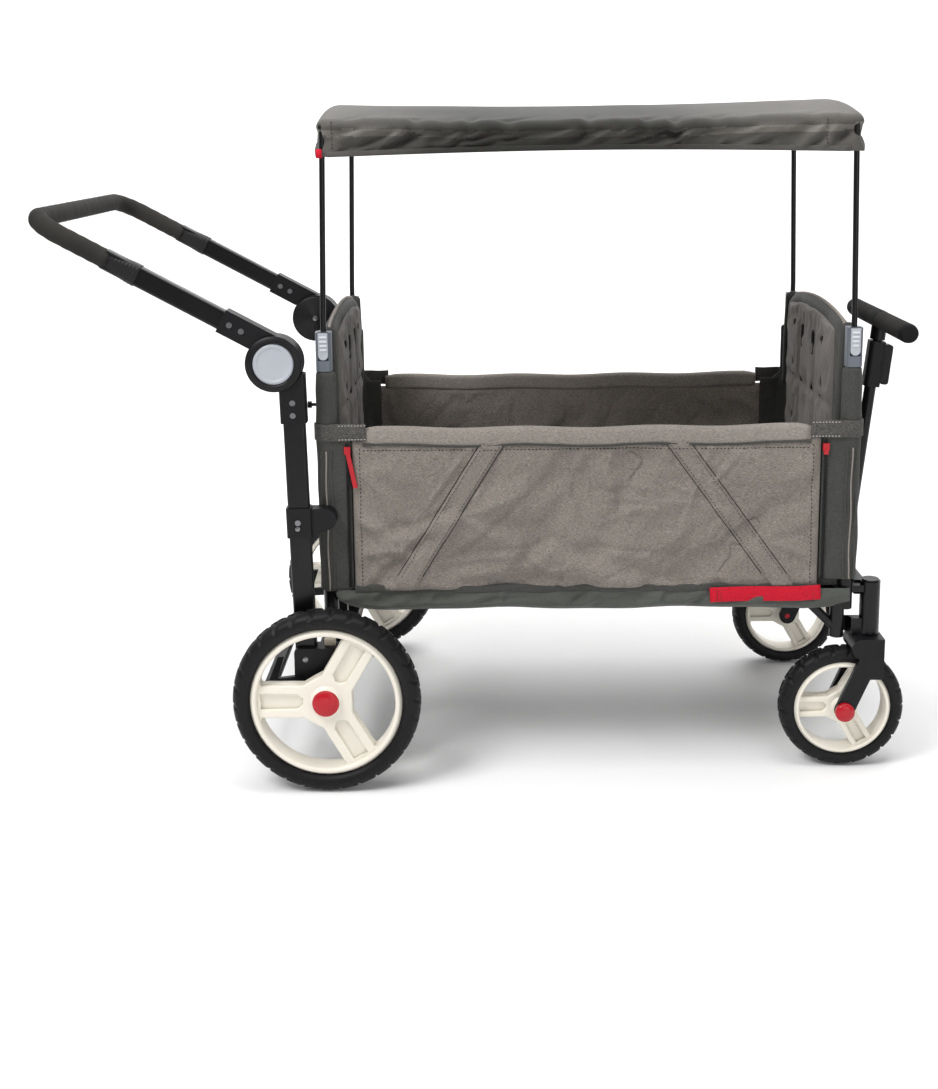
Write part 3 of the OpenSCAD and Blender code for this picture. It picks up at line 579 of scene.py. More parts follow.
def tyre(name, node, body, blocks):
    """Round tyre with curved shoulder sipes and a zigzag centre groove."""
    low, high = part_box(node)
    at = (low + high) / 2
    outer = (high.z - low.z) / 2
    half_w = (high.y - low.y) / 2
    bead = outer - half_w * 1.16
    across = 26
    around = blocks * 12
    rings = []
    for k in range(around):
        a = 2 * math.pi * k / around
        ring = []
        for j in range(across + 1):
            t = -1 + 2 * j / across
            swell = math.cos(t * math.pi / 2 * 0.94)
            r = bead + (outer - bead) * swell ** 0.55
            y = half_w * math.sin(t * math.pi / 2) * (1 - 0.05 * abs(t) ** 8)
            lane = abs(t)
            phase = (k / 12 + 0.9 * (lane - 0.3) ** 2 * (1 if t > 0 else -1) + (0.5 if t > 0 else 0)) % 1
            in_sipe = phase < 0.18 and 0.07 < lane < 0.80
            zigzag = abs(t - 0.05 * math.sin(2 * math.pi * k / 12)) < 0.045
            ring_line = abs(lane - 0.80) < 0.03
            r -= 0.0030 if in_sipe or zigzag else (0.0012 if ring_line else 0)
            ring.append(at + Vector((r * math.cos(a), y, r * math.sin(a))))
        for t in (0.9, 0, -0.9):
            inner = bead - 0.002
            ring.append(at + Vector((inner * math.cos(a), half_w * 0.8 * t, inner * math.sin(a))))
        rings.append(ring)
    rings.append(rings[0])
    obj = loft(name, rings, TYRE, body, caps=False)
    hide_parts(node)
    return obj


def flat_plate(outlines, at, y0, y1, bevel):
    """A plate in the XZ plane made from closed outlines, the first with the rest as holes."""
    data = bpy.data.curves.new("plate", "CURVE")
    data.dimensions = "2D"
    data.fill_mode = "BOTH"
    data.extrude = abs(y1 - y0) / 2 - bevel
    data.bevel_depth = bevel
    data.bevel_resolution = 2
    data.offset = -bevel
    for outline in outlines:
        spline = data.splines.new("POLY")
        spline.points.add(len(outline) - 1)
        for p, (x, z) in zip(spline.points, outline):
            p.co = (x, z, 0, 1)
        spline.use_cyclic_u = True
    obj = bpy.data.objects.new("plate", data)
    scene.collection.objects.link(obj)
    mesh = bpy.data.meshes.new_from_object(obj.evaluated_get(bpy.context.evaluated_depsgraph_get()))
    bpy.data.objects.remove(obj)
    mesh.transform(Matrix.Translation(Vector(at) + Vector((0, (y0 + y1) / 2, 0)))
                   @ Matrix.Rotation(math.pi / 2, 4, "X"))
    verts = [v.co.copy() for v in mesh.vertices]
    faces = [tuple(p.vertices) for p in mesh.polygons]
    bpy.data.meshes.remove(mesh)
    return verts, faces


def arc(cx, cz, r, a0, a1, steps):
    angles = [a0 + (a1 - a0) * k / steps for k in range(steps + 1)]
    return [(cx + r * math.cos(a), cz + r * math.sin(a)) for a in angles]


def window_outline(spoke_angle, half_spoke, inner_r, outer_r):
    """Opening between the spoke at spoke_angle and the next one, 120 degrees on."""
    mid = spoke_angle + math.pi / 3
    reach = half_spoke / math.sin(math.pi / 3)
    corner = 0.010 * outer_r / 0.109
    a_off = math.asin(half_spoke / outer_r)
    outer = arc(0, 0, outer_r, spoke_angle + a_off + 0.05, spoke_angle + 2 * math.pi / 3 - a_off - 0.05, 20)
    apex = max(reach + corner, inner_r)
    apex_points = []
    for side in (1, -1):
        d = spoke_angle + 2 * math.pi / 3 if side > 0 else spoke_angle
        n = Vector((-math.sin(d), math.cos(d))) * (-side)
        along = Vector((math.cos(d), math.sin(d)))
        near = along * (apex * 0.62 + corner) + n * half_spoke
        far = along * (outer_r * 0.93) + n * half_spoke
        apex_points.append((near, far))
    tip = Vector((math.cos(mid), math.sin(mid))) * (apex * 1.02)
    first, second = apex_points
    points = outer + [tuple(first[1]), tuple(first[0])]
    for k in range(1, 6):
        t = k / 6
        p = first[0] * (1 - t) ** 2 + tip * 2 * t * (1 - t) + second[0] * t * t
        points.append(tuple(p))
    points += [tuple(second[0]), tuple(second[1])]
    return points


def pocket_outline(spoke_angle, r0, r1, half_w):
    """Channel along a spoke, closed with cut corners towards the hub."""
    along = Vector((math.cos(spoke_angle), math.sin(spoke_angle)))
    n = Vector((-along.y, along.x))
    chamfer = half_w * 0.7
    shape = [(r0, -half_w * 0.35), (r0 + chamfer, -half_w), (r1, -half_w * 1.08), (r1, half_w * 1.08),
             (r0 + chamfer, half_w), (r0, half_w * 0.35)]
    return [tuple(along * s + n * t) for s, t in shape]


RIM_BEVEL = 0.0028


def rim(name, node, body, half_spoke, hub_r):
    """Moulded rim: ring with a rolled lip, three spokes with channels, and a round hub."""
    low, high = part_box(node)
    at = (low + high) / 2
    seat = (high.z - low.z) / 2
    half_w = (high.y - low.y) / 2
    barrel = seat - 0.013 * seat / 0.123
    web = half_w * 0.62
    skin = 0.0070
    spokes = [math.pi + 2 * math.pi / 3 * k for k in range(3)]
    circle = arc(0, 0, barrel + 0.004, 0, 2 * math.pi * 71 / 72, 71)
    windows = [window_outline(a, half_spoke, hub_r, barrel) for a in spokes]
    pockets = [pocket_outline(a, hub_r * 1.70, barrel * 0.95, half_spoke * 0.44) for a in spokes]
    verts, faces = [], []
    for outlines, y0, y1, bevel in ((([circle] + windows), -web + skin, web - skin, 0.0004),
                                    (([circle] + windows + pockets), web - skin, web, RIM_BEVEL),
                                    (([circle] + windows + pockets), -web, -web + skin, RIM_BEVEL)):
        v, f = flat_plate(outlines, at, y0, y1, bevel)
        faces += [tuple(i + len(verts) for i in face) for face in f]
        verts += v
    profile = []
    lip = 0.0042 * seat / 0.123
    for sign in (1, -1):
        side = [(barrel, sign * web * 0.9), (barrel, sign * (half_w - lip))]
        side += [(barrel + lip + lip * math.cos(a), sign * (half_w - lip + lip * math.sin(a)))
                 for a in [math.pi * (1 - k / 8) for k in range(9)]]
        side.append((seat, sign * (half_w - lip * 2)))
        profile += side if sign > 0 else side[::-1]
    steps = 96
    base = len(verts)
    for radius, along in profile:
        for k in range(steps):
            a = 2 * math.pi * k / steps
            verts.append(at + Vector((radius * math.cos(a), along, radius * math.sin(a))))
    rows = len(profile)
    for i in range(rows):
        for k in range(steps):
            a, b = base + i * steps + k, base + i * steps + (k + 1) % steps
            c, d = (base + ((i + 1) % rows) * steps + (k + 1) % steps, base + ((i + 1) % rows) * steps + k)
            faces.append((a, b, c, d))
    obj = make_object(name, verts, faces, RIM, body)
    obj.modifiers.new("normals", "WEIGHTED_NORMAL").keep_sharp = True
    for sign in (1, -1):
        hub = lathe(f"{name}_boss_{'out' if sign > 0 else 'in'}",
                    [(hub_r * 1.25, sign * (web - 0.001)), (hub_r * 1.12, sign * (web + 0.002)),
                     (hub_r * 0.95, sign * (half_w - 0.0025)), (hub_r * 0.85, sign * (half_w - 0.0015)),
                     (0.0065, sign * (half_w - 0.0015))], at, RIM, body, steps=48)
    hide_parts(node)
    return obj


def red_cap(name, at, out, r, rise, body):
    """Domed push-on cap whose flat side is at at."""
    profile = [(r * 0.96, -0.002 * out)]
    for k in range(9):
        a = math.pi / 2 * k / 8
        profile.append((max(r * math.cos(a) ** 0.7, 0.0004), out * rise * math.sin(a) ** 1.1))
    obj = lathe(name, profile, at, RED, body, steps=48)
    return obj


SIDES = (("left", 1), ("right", -1))


def cap_place(node, sign, depth):
    """Where a cap's flat side sits: on the node's axis, depth inside its outer end."""
    low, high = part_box(node)
    outer_y = high.y if sign > 0 else low.y
    return middle(node).x, outer_y - sign * depth, middle(node).z


for side, sign in SIDES:
    tyre(f"tyre_rear_{side}", f"rear_tyre_{side}", f"rear_wheel_{side}", 30)
    tyre(f"tyre_front_{side}", f"front_tyre_{side}", f"front_wheel_{side}", 22)
    rim(f"rim_rear_{side}", f"rear_rim_{side}", f"rear_wheel_{side}", 0.0270, 0.022)
    rim(f"rim_front_{side}", f"front_rim_{side}", f"front_wheel_{side}", 0.0175, 0.015)
    red_cap(f"cap_rear_{side}", cap_place(f"rear_axle_{side}", sign, 0.0035), sign, 0.0215, 0.0062,
            f"rear_wheel_{side}")
    red_cap(f"cap_front_{side}", cap_place(f"caster_pin_{side}", sign, 0.006), sign, 0.0152, 0.0070,
            f"caster_{side}")

# ---------- side walls ----------

RIB_HALF = 0.019
REAR_RIB = (rear_post_x + 0.282, rear_post_x + 0.129)
FRONT_RIB = (rear_post_x + 0.538, rear_post_x + 0.716)
RIB_TOP_Z = 0.577
RIB_FOOT_Z = 0.330


def rib_distance(x, z):
    """Distance in X to the nearer of the two slanted ribs under the cloth."""
    t = (RIB_TOP_Z - z) / (RIB_TOP_Z - RIB_FOOT_Z)
    return min(abs(x - (a + (b - a) * t)) for a, b in (REAR_RIB, FRONT_RIB))


RIB_LIFT = 0.0042
WALL_MID_Y = (side_in_y + side_out_y) / 2


def side_wall(side, sign, body):
    """Padded wall whose cloth hangs in creases between its held edges and ribs."""
    name = f"side_wall_{side}"
    x0, x1 = zip_rear_x, zip_front_x
    z0, z1 = door_z, hem_top_z - hem_h * 0.75
    mid_y = sign * WALL_MID_Y
    broad = make_folds(16, (x0 + 0.05, x1 - 0.05), (z0 + 0.01, z0 + 0.13), (0.15, 0.45),
                       (0.07, 0.15), (0.011, 0.022), (0.0060, 0.0110))
    fine = make_folds(54, (x0 + 0.02, x1 - 0.02), (z0 + 0.005, z0 + 0.20), (0.25, 0.7), (0.03, 0.09),
                      (0.005, 0.010), (0.0020, 0.0042))
    pulls = make_folds(9, (x0 + 0.43, x0 + 0.62), (z0 + 0.12, z0 + 0.21), (-0.5, 0.2), (0.06, 0.12),
                       (0.007, 0.013), (0.0028, 0.0050))

    def place(u, v):
        return Vector((x0 + (x1 - x0) * u, mid_y, z0 + (z1 - z0) * v))

    def half(u, v):
        p = place(u, v)
        puff = edge_round(u, v, 0.015, 0.05)
        swell = max(-0.006, min(0.008, folds_at(broad, p.x, p.z))) * puff
        return 0.0016 + 0.0032 * puff + swell, 0.0016 + 0.0032 * puff - swell * 0.9

    wall = pillow(name, place, Vector((0, sign, 0)), half, TAUPE, body, 110, 36)

    def pin(co):
        u = (co.x - x0) / (x1 - x0)
        v = (co.z - z0) / (z1 - z0)
        if min(u, 1 - u) < 0.012 or min(v, 1 - v) < 0.03:
            return 1.0
        return 0.6 if rib_distance(co.x, co.z) < RIB_HALF else 0.05

    relax_cloth(wall, pin, slack=0.03, pressure=0.25, cap=0.005)
    subdivide(wall, 2)
    freeze(wall)
    for v in wall.data.vertices:
        if (v.co.y - mid_y) * sign < 0.0008:
            continue
        edge = min(1.0, min(v.co.x - x0, x1 - v.co.x) / 0.012, (v.co.z - z0) / 0.010)
        rib = min(1.0, max(0.0, (RIB_HALF - rib_distance(v.co.x, v.co.z)) / 0.0028))
        slack = folds_at(fine, v.co.x, v.co.z) + folds_at(pulls, v.co.x, v.co.z)
        slack = max(-0.003, min(0.005, slack))
        v.co.y += sign * max(0.0, edge) * (RIB_LIFT * rib + slack * (1 - 0.6 * rib))
    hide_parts(f"side_panel_{side}")
    folds_with_frame(wall)
    skin = surface_of(wall)
    wall_ribs(name, skin, sign, body)
    wall_hem(name, skin, sign, body)
    wall_edges(name, skin, sign, body)


def wall_ribs(name, skin, sign, body):
    """Seam and row of stitches along both edges of each slanted rib."""
    out = Vector((0, sign, 0))
    for k, (top, foot) in enumerate((REAR_RIB, FRONT_RIB)):
        for edge in (-1, 1):
            line = []
            inset = []
            for i in range(41):
                t = 0.09 + 0.90 * i / 40
                z = RIB_TOP_Z + (RIB_FOOT_Z - RIB_TOP_Z) * t
                x = top + (foot - top) * t
                line.append(on_surface(skin, x + edge * (RIB_HALF + 0.0012), z, sign, 0.0001))
                inset.append(on_surface(skin, x + edge * (RIB_HALF - 0.0050), z, sign, 0.0002))
            seam = tube(f"{name}_rib_seam_{k}_{edge}", line, 0.0008, THREAD_DARK, body, up=out, steps=6)
            folds_with_frame(seam)
            folds_with_frame(dashes(f"{name}_rib_stitch_{k}_{edge}", inset, out, THREAD_DARK, body,
                                    width=0.0006))


def hem_section(t):
    """Rolled hem, pinched at both ends."""
    pinch = 1 - 0.25 * max(0, 1 - min(t, 1 - t) * 40)
    swell = 1 + 0.05 * math.sin(t * 83)
    return [(s * swell * pinch, u * pinch) for s, u in rounded_section(0.0165, hem_h, 0.0078, 5)]


def wall_hem(name, skin, sign, body):
    """Rolled top hem, with its seam and stitches."""
    start = zip_rear_x + 0.018
    length = zip_front_x - zip_rear_x - 0.036
    mid_z = hem_top_z - hem_h / 2
    hem_path = [Vector((start + length * k / 70, sign * WALL_MID_Y,
                        mid_z + 0.0016 * math.sin(k * 0.31) - 0.002 * math.sin(math.pi * k / 70)))
                for k in range(71)]
    hem = sweep(f"{name}_hem", hem_path, hem_section, TAUPE_HEM, body)
    folds_with_frame(hem)
    piping = tube(f"{name}_hem_seam", [p + Vector((0, sign * 0.0068, -hem_h * 0.46)) for p in hem_path],
                  0.0017, CHARCOAL, body)
    folds_with_frame(piping)
    line = [on_surface(skin, p.x, hem_top_z - 0.0375, sign, 0.0002) for p in hem_path]
    folds_with_frame(dashes(f"{name}_hem_stitch", line, Vector((0, sign, 0)), THREAD_DARK, body))


def wall_edges(name, skin, sign, body):
    """Stitches beside the zips and a dark binding along the foot."""
    x0, x1 = zip_rear_x, zip_front_x
    for k, x in enumerate((x0 + 0.013, x1 - 0.013)):
        line = [on_surface(skin, x, door_z + 0.012 + 0.225 * i / 30, sign, 0.0002) for i in range(31)]
        folds_with_frame(dashes(f"{name}_seam_{k}", line, Vector((0, sign, 0)), THREAD_DARK, body,
                                pitch=0.0065))
    foot = [Vector((x0 + (x1 - x0) * k / 60, sign * (WALL_MID_Y + 0.002),
                    door_z + 0.004 + 0.0015 * math.sin(k * 0.7))) for k in range(61)]
    binding = sweep(f"{name}_binding", foot, lambda t: rounded_section(0.0085, 0.013, 0.0035, 3),
                    CHARCOAL, body)
    folds_with_frame(binding)


side_wall("left", 1, "rear_frame")
side_wall("right", -1, "side_door")


def inner_flap(name, sign, x_low, x_high, body):
    """Cloth flap that closes the corner behind the zip."""
    z0, z1 = door_z + 0.004, 0.566
    y = side_in_y - 0.0012

    def place(u, v):
        ease = 0.0006 * math.sin(v * 9 + u * 4)
        return Vector((x_low + (x_high - x_low) * u, sign * (y + ease), z0 + (z1 - z0) * v))

    flap = pillow(name, place, Vector((0, sign, 0)), lambda u, v: (0.0006, 0.0006), CHARCOAL, body, 8, 40)


for side, sign in SIDES:
    inner_flap(f"flap_rear_{side}", sign, rear_post_x + 0.014, zip_rear_x + 0.010, "rear_frame")
    inner_flap(f"flap_front_{side}", sign, zip_front_x - 0.010, front_post_x - 0.014, "front_frame")


def corner_strap(name, sign, post_x, toward, body):
    """Hook-and-loop strap from the wall's top round the corner sleeve."""
    wrap_r = 0.0178
    z = 0.5695
    path = [Vector((post_x + toward * (0.064 - 0.006 * k), sign * (side_out_y + 0.0034), z))
            for k in range(6)]
    path += [Vector((post_x + toward * 0.022, sign * (side_out_y + 0.0042), z)),
             Vector((post_x + toward * 0.012, sign * (post_y + wrap_r - 0.001), z))]
    for k in range(9):
        a = math.pi / 2 + toward * math.radians(-8 + 13 * k)
        path.append(Vector((post_x + wrap_r * math.cos(a), sign * (post_y + wrap_r * math.sin(a)), z)))

    def section(t):
        return rounded_section(0.0024, 0.0285 - 0.002 * abs(math.sin(9 * t)), 0.0010, 2)

    strap = sweep(name, path, section, STRAP, body)
    for k, dz in enumerate((0.0112, -0.0112)):
        line = [p + Vector((0, sign * 0.0014, dz)) for p in path[:7]]
        row = dashes(f"{name}_stitch_{k}", line, Vector((0, sign, 0)), THREAD, body,
                     pitch=0.005, length=0.003)
        folds_with_frame(row)
    folds_with_frame(strap)


for side, sign, body in (("left", 1, "rear_frame"), ("right", -1, "side_door")):
    corner_strap(f"strap_rear_{side}", sign, rear_post_x, 1, body)
    corner_strap(f"strap_front_{side}", sign, front_post_x, -1, body)


TOOTH_BOX = ((-.0016, 0, 0), (.0016, 0, 0), (.0016, .0014, .0003), (-.0016, .0014, .0003),
             (-.0016, 0, .0019), (.0016, 0, .0019), (.0016, .0014, .0016), (-.0016, .0014, .0016))
TOOTH_FACES = ((0, 1, 2, 3), (4, 5, 6, 7), (0, 1, 5, 4), (2, 3, 7, 6), (1, 2, 6, 5), (0, 3, 7, 4))


def zip_line(name, x, sign, body):
    """Two rows of zip teeth, half a tooth apart."""
    z0, z1 = door_z + 0.008, 0.551
    y = sign * (side_out_y + 0.0002)
    count = 74
    verts, faces = [], []
    for k in range(count):
        z = z0 + (z1 - z0) * k / count
        for row in (-1, 1):
            centre_x = x + row * 0.0012
            shift = 0.0012 if row > 0 else 0
            base = len(verts)
            verts += [Vector((centre_x + dx, y + sign * dy, z + dz + shift)) for dx, dy, dz in TOOTH_BOX]
            faces += [tuple(base + i for i in face) for face in TOOTH_FACES]
    make_object(name, verts, faces, PLASTIC, body, smooth=False)


zip_line("zip_teeth_rear", zip_rear_x - 0.0062, -1, "rear_frame")
zip_line("zip_teeth_front", zip_front_x + 0.0062, -1, "front_frame")
zip_line("zip_teeth_rear_far", zip_rear_x - 0.0062, 1, "rear_frame")
zip_line("zip_teeth_front_far", zip_front_x + 0.0062, 1, "front_frame")

# ---------- corner sleeves ----------


def corner_sleeve(name, sign, post_x, toward, foot_z, tape_w, body):
    """Cloth sleeve round a corner upright, running out flat to the zip."""
    top_z = 0.668
    rings = []
    levels = 46
    for i in range(levels + 1):
        z = foot_z + (top_z - foot_z) * i / levels
        t = i / levels
        r = 0.0160 + 0.0006 * math.sin(z * 71 + sign) + 0.0005 * math.sin(z * 37)
        if t > 0.9:
            r -= 0.003 * (t - 0.9) / 0.1
        reach = tape_w if z < 0.556 else tape_w + (0.019 - tape_w) * min(1, (z - 0.556) / 0.02)
        thin = 0.0042
        ring = []
        steps = 22
        for k in range(steps + 1):
            a = math.radians(62 + (360 - 100) * k / steps)
            ring.append((r * math.cos(a), r * math.sin(a)))
        flat_y = side_in_y + 0.005 - post_y
        for x, y in ((0.6, -thin), (1.0, -thin), (1.0, thin), (0.55, thin)):
            wave = 0.0008 * math.sin(z * 90 + x * 3)
            ring.append((reach * x, flat_y + y + wave))
        rings.append([Vector((post_x + toward * x, sign * (post_y + y), z)) for x, y in ring])
    sleeve = loft(name, rings, CHARCOAL, body)
    subdivide(sleeve)
    for k, degrees in enumerate((62, 90, 118)):
        sleeve_fold(f"{name}_fold_{k}", k, math.radians(degrees), sign, post_x, foot_z, body)
    return sleeve


def sleeve_fold(name, k, angle, sign, post_x, foot_z, body):
    """Raised crease down a corner sleeve; the middle one is light piping."""
    r = 0.0166
    x, y = post_x + r * math.cos(angle), sign * (post_y + r * math.sin(angle))
    heights = [foot_z + 0.004 + (0.535 - foot_z) * i / 30 for i in range(31)]
    line = [Vector((x + 0.0008 * math.sin(z * 60 + k), y, z)) for z in heights]
    width, material = (0.0013, TAUPE_HEM) if k == 1 else (0.0018, CHARCOAL)
    fold = tube(name, line, width, material, body, up=Vector((0, 1, 0)), steps=8)


def gusset(name, sign, post_x, toward, body):
    """Padded web between the end wall's edge and the corner, with an arched top."""
    y0, y1 = 0.200, post_y - 0.0145
    z0, z1 = 0.560, 0.728

    def place(u, v):
        lean = 0.0 if v < 0.5 else 0.006 * (v - 0.5)
        return Vector((post_x + toward * (-0.006 + 0.026 * u - lean), sign * (y1 + (y0 - y1) * 0.45),
                       z0 + (z1 - z0 + 0.006 * math.sin(math.pi * u)) * v))

    def half(u, v):
        puff = edge_round(u, v, 0.25, 0.08)
        return 0.002 + 0.0055 * puff, 0.002 + 0.0055 * puff

    pad = pillow(name, place, Vector((0, sign, 0)), half, CHARCOAL, body, 12, 24)
    subdivide(pad)


for end, post_x, toward, foot_z, tape_w, body in (
        ("rear", rear_post_x, 1, door_z, 0.0395, "rear_frame"),
        ("front", front_post_x, -1, 0.320, 0.0462, "front_frame")):
    sleeves = [corner_sleeve(f"sleeve_{end}_{side}", sign, post_x, toward, foot_z, tape_w, body)
               for side, sign in SIDES]
    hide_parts(f"{end}_corner_sleeves")
    for side, sign in SIDES:
        gusset(f"gusset_{end}_{side}", sign, post_x, toward, body)

# ---------- end walls ----------

panel_half = end_high.y
panel_foot = end_low.z
crown_z = end_high.z
CROWN_R = 1.07
CORNER_R = 0.040
PANEL_BACK = 0.008
PANEL_FRONT = 0.016
FACE_HALF = 0.172
SEAMS_Y = (-0.058, 0.058)
SEAMS_Z = (0.455, 0.590)
face_foot = panel_foot + 0.034


def crown_at(y):
    """Height of the end wall's top edge at that distance from the middle."""
    arch = crown_z - CROWN_R + math.sqrt(CROWN_R ** 2 - y * y)
    over = abs(y) - (panel_half - CORNER_R)
    if over > 0:
        arch -= CORNER_R - math.sqrt(max(0.0, CORNER_R ** 2 - over * over))
    return arch


def end_wall(end, post_x, toward, body):
    """Padded end wall with an arched top; toward is the way from the post into the cabin."""
    name = f"end_wall_{end}"
    mid_x = post_x + toward * (PANEL_FRONT - PANEL_BACK) / 2
    thick = (PANEL_FRONT + PANEL_BACK) / 2

    def place(u, v):
        y = (2 * u - 1) * panel_half * (1 - 0.012 * math.sin(math.pi * v) ** 2)
        return Vector((mid_x, y, panel_foot + (crown_at(y) - panel_foot) * v))

    def half(u, v):
        puff = edge_round(u, v, 0.045, 0.04)
        h = 0.0018 + (thick - 0.0028) * puff
        return h, h

    wall = pillow(name, place, Vector((toward, 0, 0)), half, CHARCOAL, body, 60, 60)

    def pin(co):
        edge = min(panel_half - abs(co.y), co.z - panel_foot)
        return 1.0 if edge < 0.010 or crown_at(co.y) - co.z < 0.010 else 0.0

    relax_cloth(wall, pin, slack=0.02, pressure=0.5, cap=0.0012)
    subdivide(wall)
    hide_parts(f"{end}_end_panel")

    face_x = post_x + toward * (PANEL_FRONT + 0.0008)
    end_face(name, face_x, toward, body)
    end_piping(name, mid_x, toward, body)
    harness_slots(name, face_x, toward, body)


def channel_distance(y, z):
    """Distance to the nearest channel sewn into the light face."""
    return min([abs(y - seam) for seam in SEAMS_Y] + [abs(z - seam) for seam in SEAMS_Z])


def end_face(name, face_x, toward, body):
    """Light padded face towards the cabin, sewn down along its channels."""
    def place(u, v):
        y = (2 * u - 1) * FACE_HALF
        return Vector((face_x, y, face_foot + (crown_at(y * 1.03) - 0.016 - face_foot) * v))

    def half(u, v):
        p = place(u, v)
        puff = edge_round(u, v, 0.05, 0.05)
        groove = 1 - math.exp(-(channel_distance(p.y, p.z) / 0.009) ** 2)
        return 0.0008 + 0.0040 * puff * (0.35 + 0.65 * groove), 0.003

    # The face's light cloth is coloured darker here as painted shade.
    face = pillow(f"{name}_face", place, Vector((toward, 0, 0)), half, TAUPE_FACE_SHADED, body, 56, 60)

    def pin(co):
        outside = (co.x - face_x) * toward < 0.0
        at_edge = FACE_HALF - abs(co.y) < 0.008 or co.z - face_foot < 0.008
        return 1.0 if outside or at_edge or channel_distance(co.y, co.z) < 0.0035 else 0.0

    relax_cloth(face, pin, slack=0.03, pressure=0.8, cap=0.0026)
    subdivide(face)


def end_piping(name, mid_x, toward, body):
    """Piping up one side, over the crown and down the other."""
    shoulder = crown_at(panel_half * 0.999) - panel_foot
    edge_y = panel_half - 0.002
    loop = [Vector((mid_x, -edge_y, panel_foot + shoulder * k / 24)) for k in range(25)]
    for k in range(1, 60):
        y = -edge_y + 2 * edge_y * k / 60
        loop.append(Vector((mid_x, y, crown_at(y) - 0.0005)))
    loop += [Vector((mid_x, edge_y, panel_foot + shoulder * (1 - k / 24))) for k in range(25)]
    pipe = tube(f"{name}_piping", loop, 0.0026, TAUPE_HEM, body, up=Vector((toward, 0, 0)), steps=10)


def harness_slots(name, face_x, toward, body):
    """Harness slots in columns, bound in black."""
    places = [(y, z) for y in (-0.105, -0.040, 0.040, 0.105) for z in (0.435, 0.525, 0.615, 0.675)]
    for k, (y, z) in enumerate(places):
        rings = []
        for grow, lift in ((1.0, -0.001), (1.0, 0.0012), (0.8, 0.0016), (0.55, 0.0002), (0.3, -0.0008)):
            section = rounded_section(0.0105 * grow, 0.042 * (0.6 + 0.4 * grow), 0.0049 * grow, 3)
            rings.append([Vector((face_x + toward * (0.0042 + lift), y + a, z + b)) for a, b in section])
        binding = loft(f"{name}_slot_{k}", rings, WEB_BLACK, body)


end_wall("rear", rear_post_x, 1, "rear_frame")
end_wall("front", front_post_x, -1, "front_frame")

# ---------- floor mats ----------


def floor_mat(name, node, body):
    low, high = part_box(node)
    low = low + Vector((0.001, 0.001, 0))
    high = high - Vector((0.001, 0.001, 0))
    mid_z = (low.z + high.z) / 2

    def place(u, v):
        return Vector((low.x + (high.x - low.x) * u, low.y + (high.y - low.y) * v, mid_z))

    def half(u, v):
        p = place(u, v)
        puff = edge_round(u, v, 0.035, 0.03)
        seam = min(abs((p.x - low.x) % 0.094 - 0.047), abs((p.y - low.y) % 0.110 - 0.055))
        groove = 1 - 0.35 * math.exp(-(seam / 0.006) ** 2)
        return 0.002 + 0.0078 * puff * groove, 0.002 + 0.0078 * puff

    mat = pillow(name, place, Vector((0, 0, 1)), half, CHARCOAL, body, 60, 64)
    subdivide(mat)
    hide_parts(node)


floor_mat("mat_rear", "rear_floor_mat", "rear_floor")
floor_mat("mat_front", "front_floor_mat", "front_floor")

# ---------- cloth band round the floor, and the storage strap ----------


def floor_skirt(name, sign):
    """Band hanging from the walls' foot, rounded up at its rear corner."""
    x0, x1 = rear_post_x + 0.010, front_post_x + 0.004
    rows = 16
    rings = []
    columns = 280
    creases = make_folds(60, (x0, x1), (-0.034, 0.0), (0.55, 0.5), (0.015, 0.050),
                         (0.004, 0.009), (0.0030, 0.0065))
    for k in range(columns + 1):
        x = x0 + (x1 - x0) * k / columns
        start = min(1.0, (x - x0) / 0.055)
        depth = 0.014 + 0.022 * math.sqrt(1 - (1 - start) ** 2)
        if x > x1 - 0.03:
            depth *= 0.80 + 0.2 * (x1 - x) / 0.03
        step_out = 0.004 * min(1.0, max(0.0, (x - (front_post_x - 0.082)) / 0.012))
        ring = []
        for j in range(rows + 1):
            v = j / rows
            free = math.sin(math.pi * min(1.0, v * 1.1))
            wave = 0.0018 * math.sin(x * 47 + v * 3) * v
            wave += free * max(-0.005, min(0.006, folds_at(creases, x, -depth * v)))
            tuck = -0.010 * max(0.0, v - 0.75) / 0.25
            y = side_out_y - 0.002 + 0.0035 * math.sin(math.pi * v) + step_out + wave + tuck
            z = door_z + 0.003 - depth * v + 0.0016 * math.sin(x * 21 + 1) * v
            ring.append(Vector((x, sign * y, z)))
        rings.append(ring)
    skirt = loft(name, rings, NYLON, "rear_frame", closed=False)
    thicken = skirt.modifiers.new("thickness", "SOLIDIFY")
    thicken.thickness = 0.0009
    subdivide(skirt)
    folds_with_frame(skirt)
    return skirt


near_skirt = floor_skirt("floor_skirt_right", -1)
floor_skirt("floor_skirt_left", 1)
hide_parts("bottom_skirt")

strap_low, strap_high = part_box("fold_strap")


def storage_strap():
    """Webbing sewn down at its front end, lying along the floor band."""
    path = []
    for k in range(31):
        t = k / 30
        path.append(Vector((strap_low.x + (strap_high.x - strap_low.x) * t,
                            -side_out_y - 0.0052 - 0.0014 * math.sin(t * 9),
                            0.2985 + 0.0036 * t + 0.001 * math.sin(t * 7))))

    strap = sweep("storage_strap", path, lambda t: rounded_section(0.0020, 0.0245, 0.0009, 2), WEB_RED,
                  "rear_frame")
    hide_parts("fold_strap")
    folds_with_frame(strap)
    for k, x in enumerate((path[2].x, path[3].x, path[-3].x, path[-5].x)):
        line = [Vector((x, -side_out_y - 0.0072, 0.289 + 0.019 * i / 6)) for i in range(7)]
        folds_with_frame(dashes(f"storage_strap_stitch_{k}", line, Vector((0, -1, 0)), THREAD_DARK,
                                "rear_frame", pitch=0.004, length=0.0026))


storage_strap()

# ---------- canopy ----------


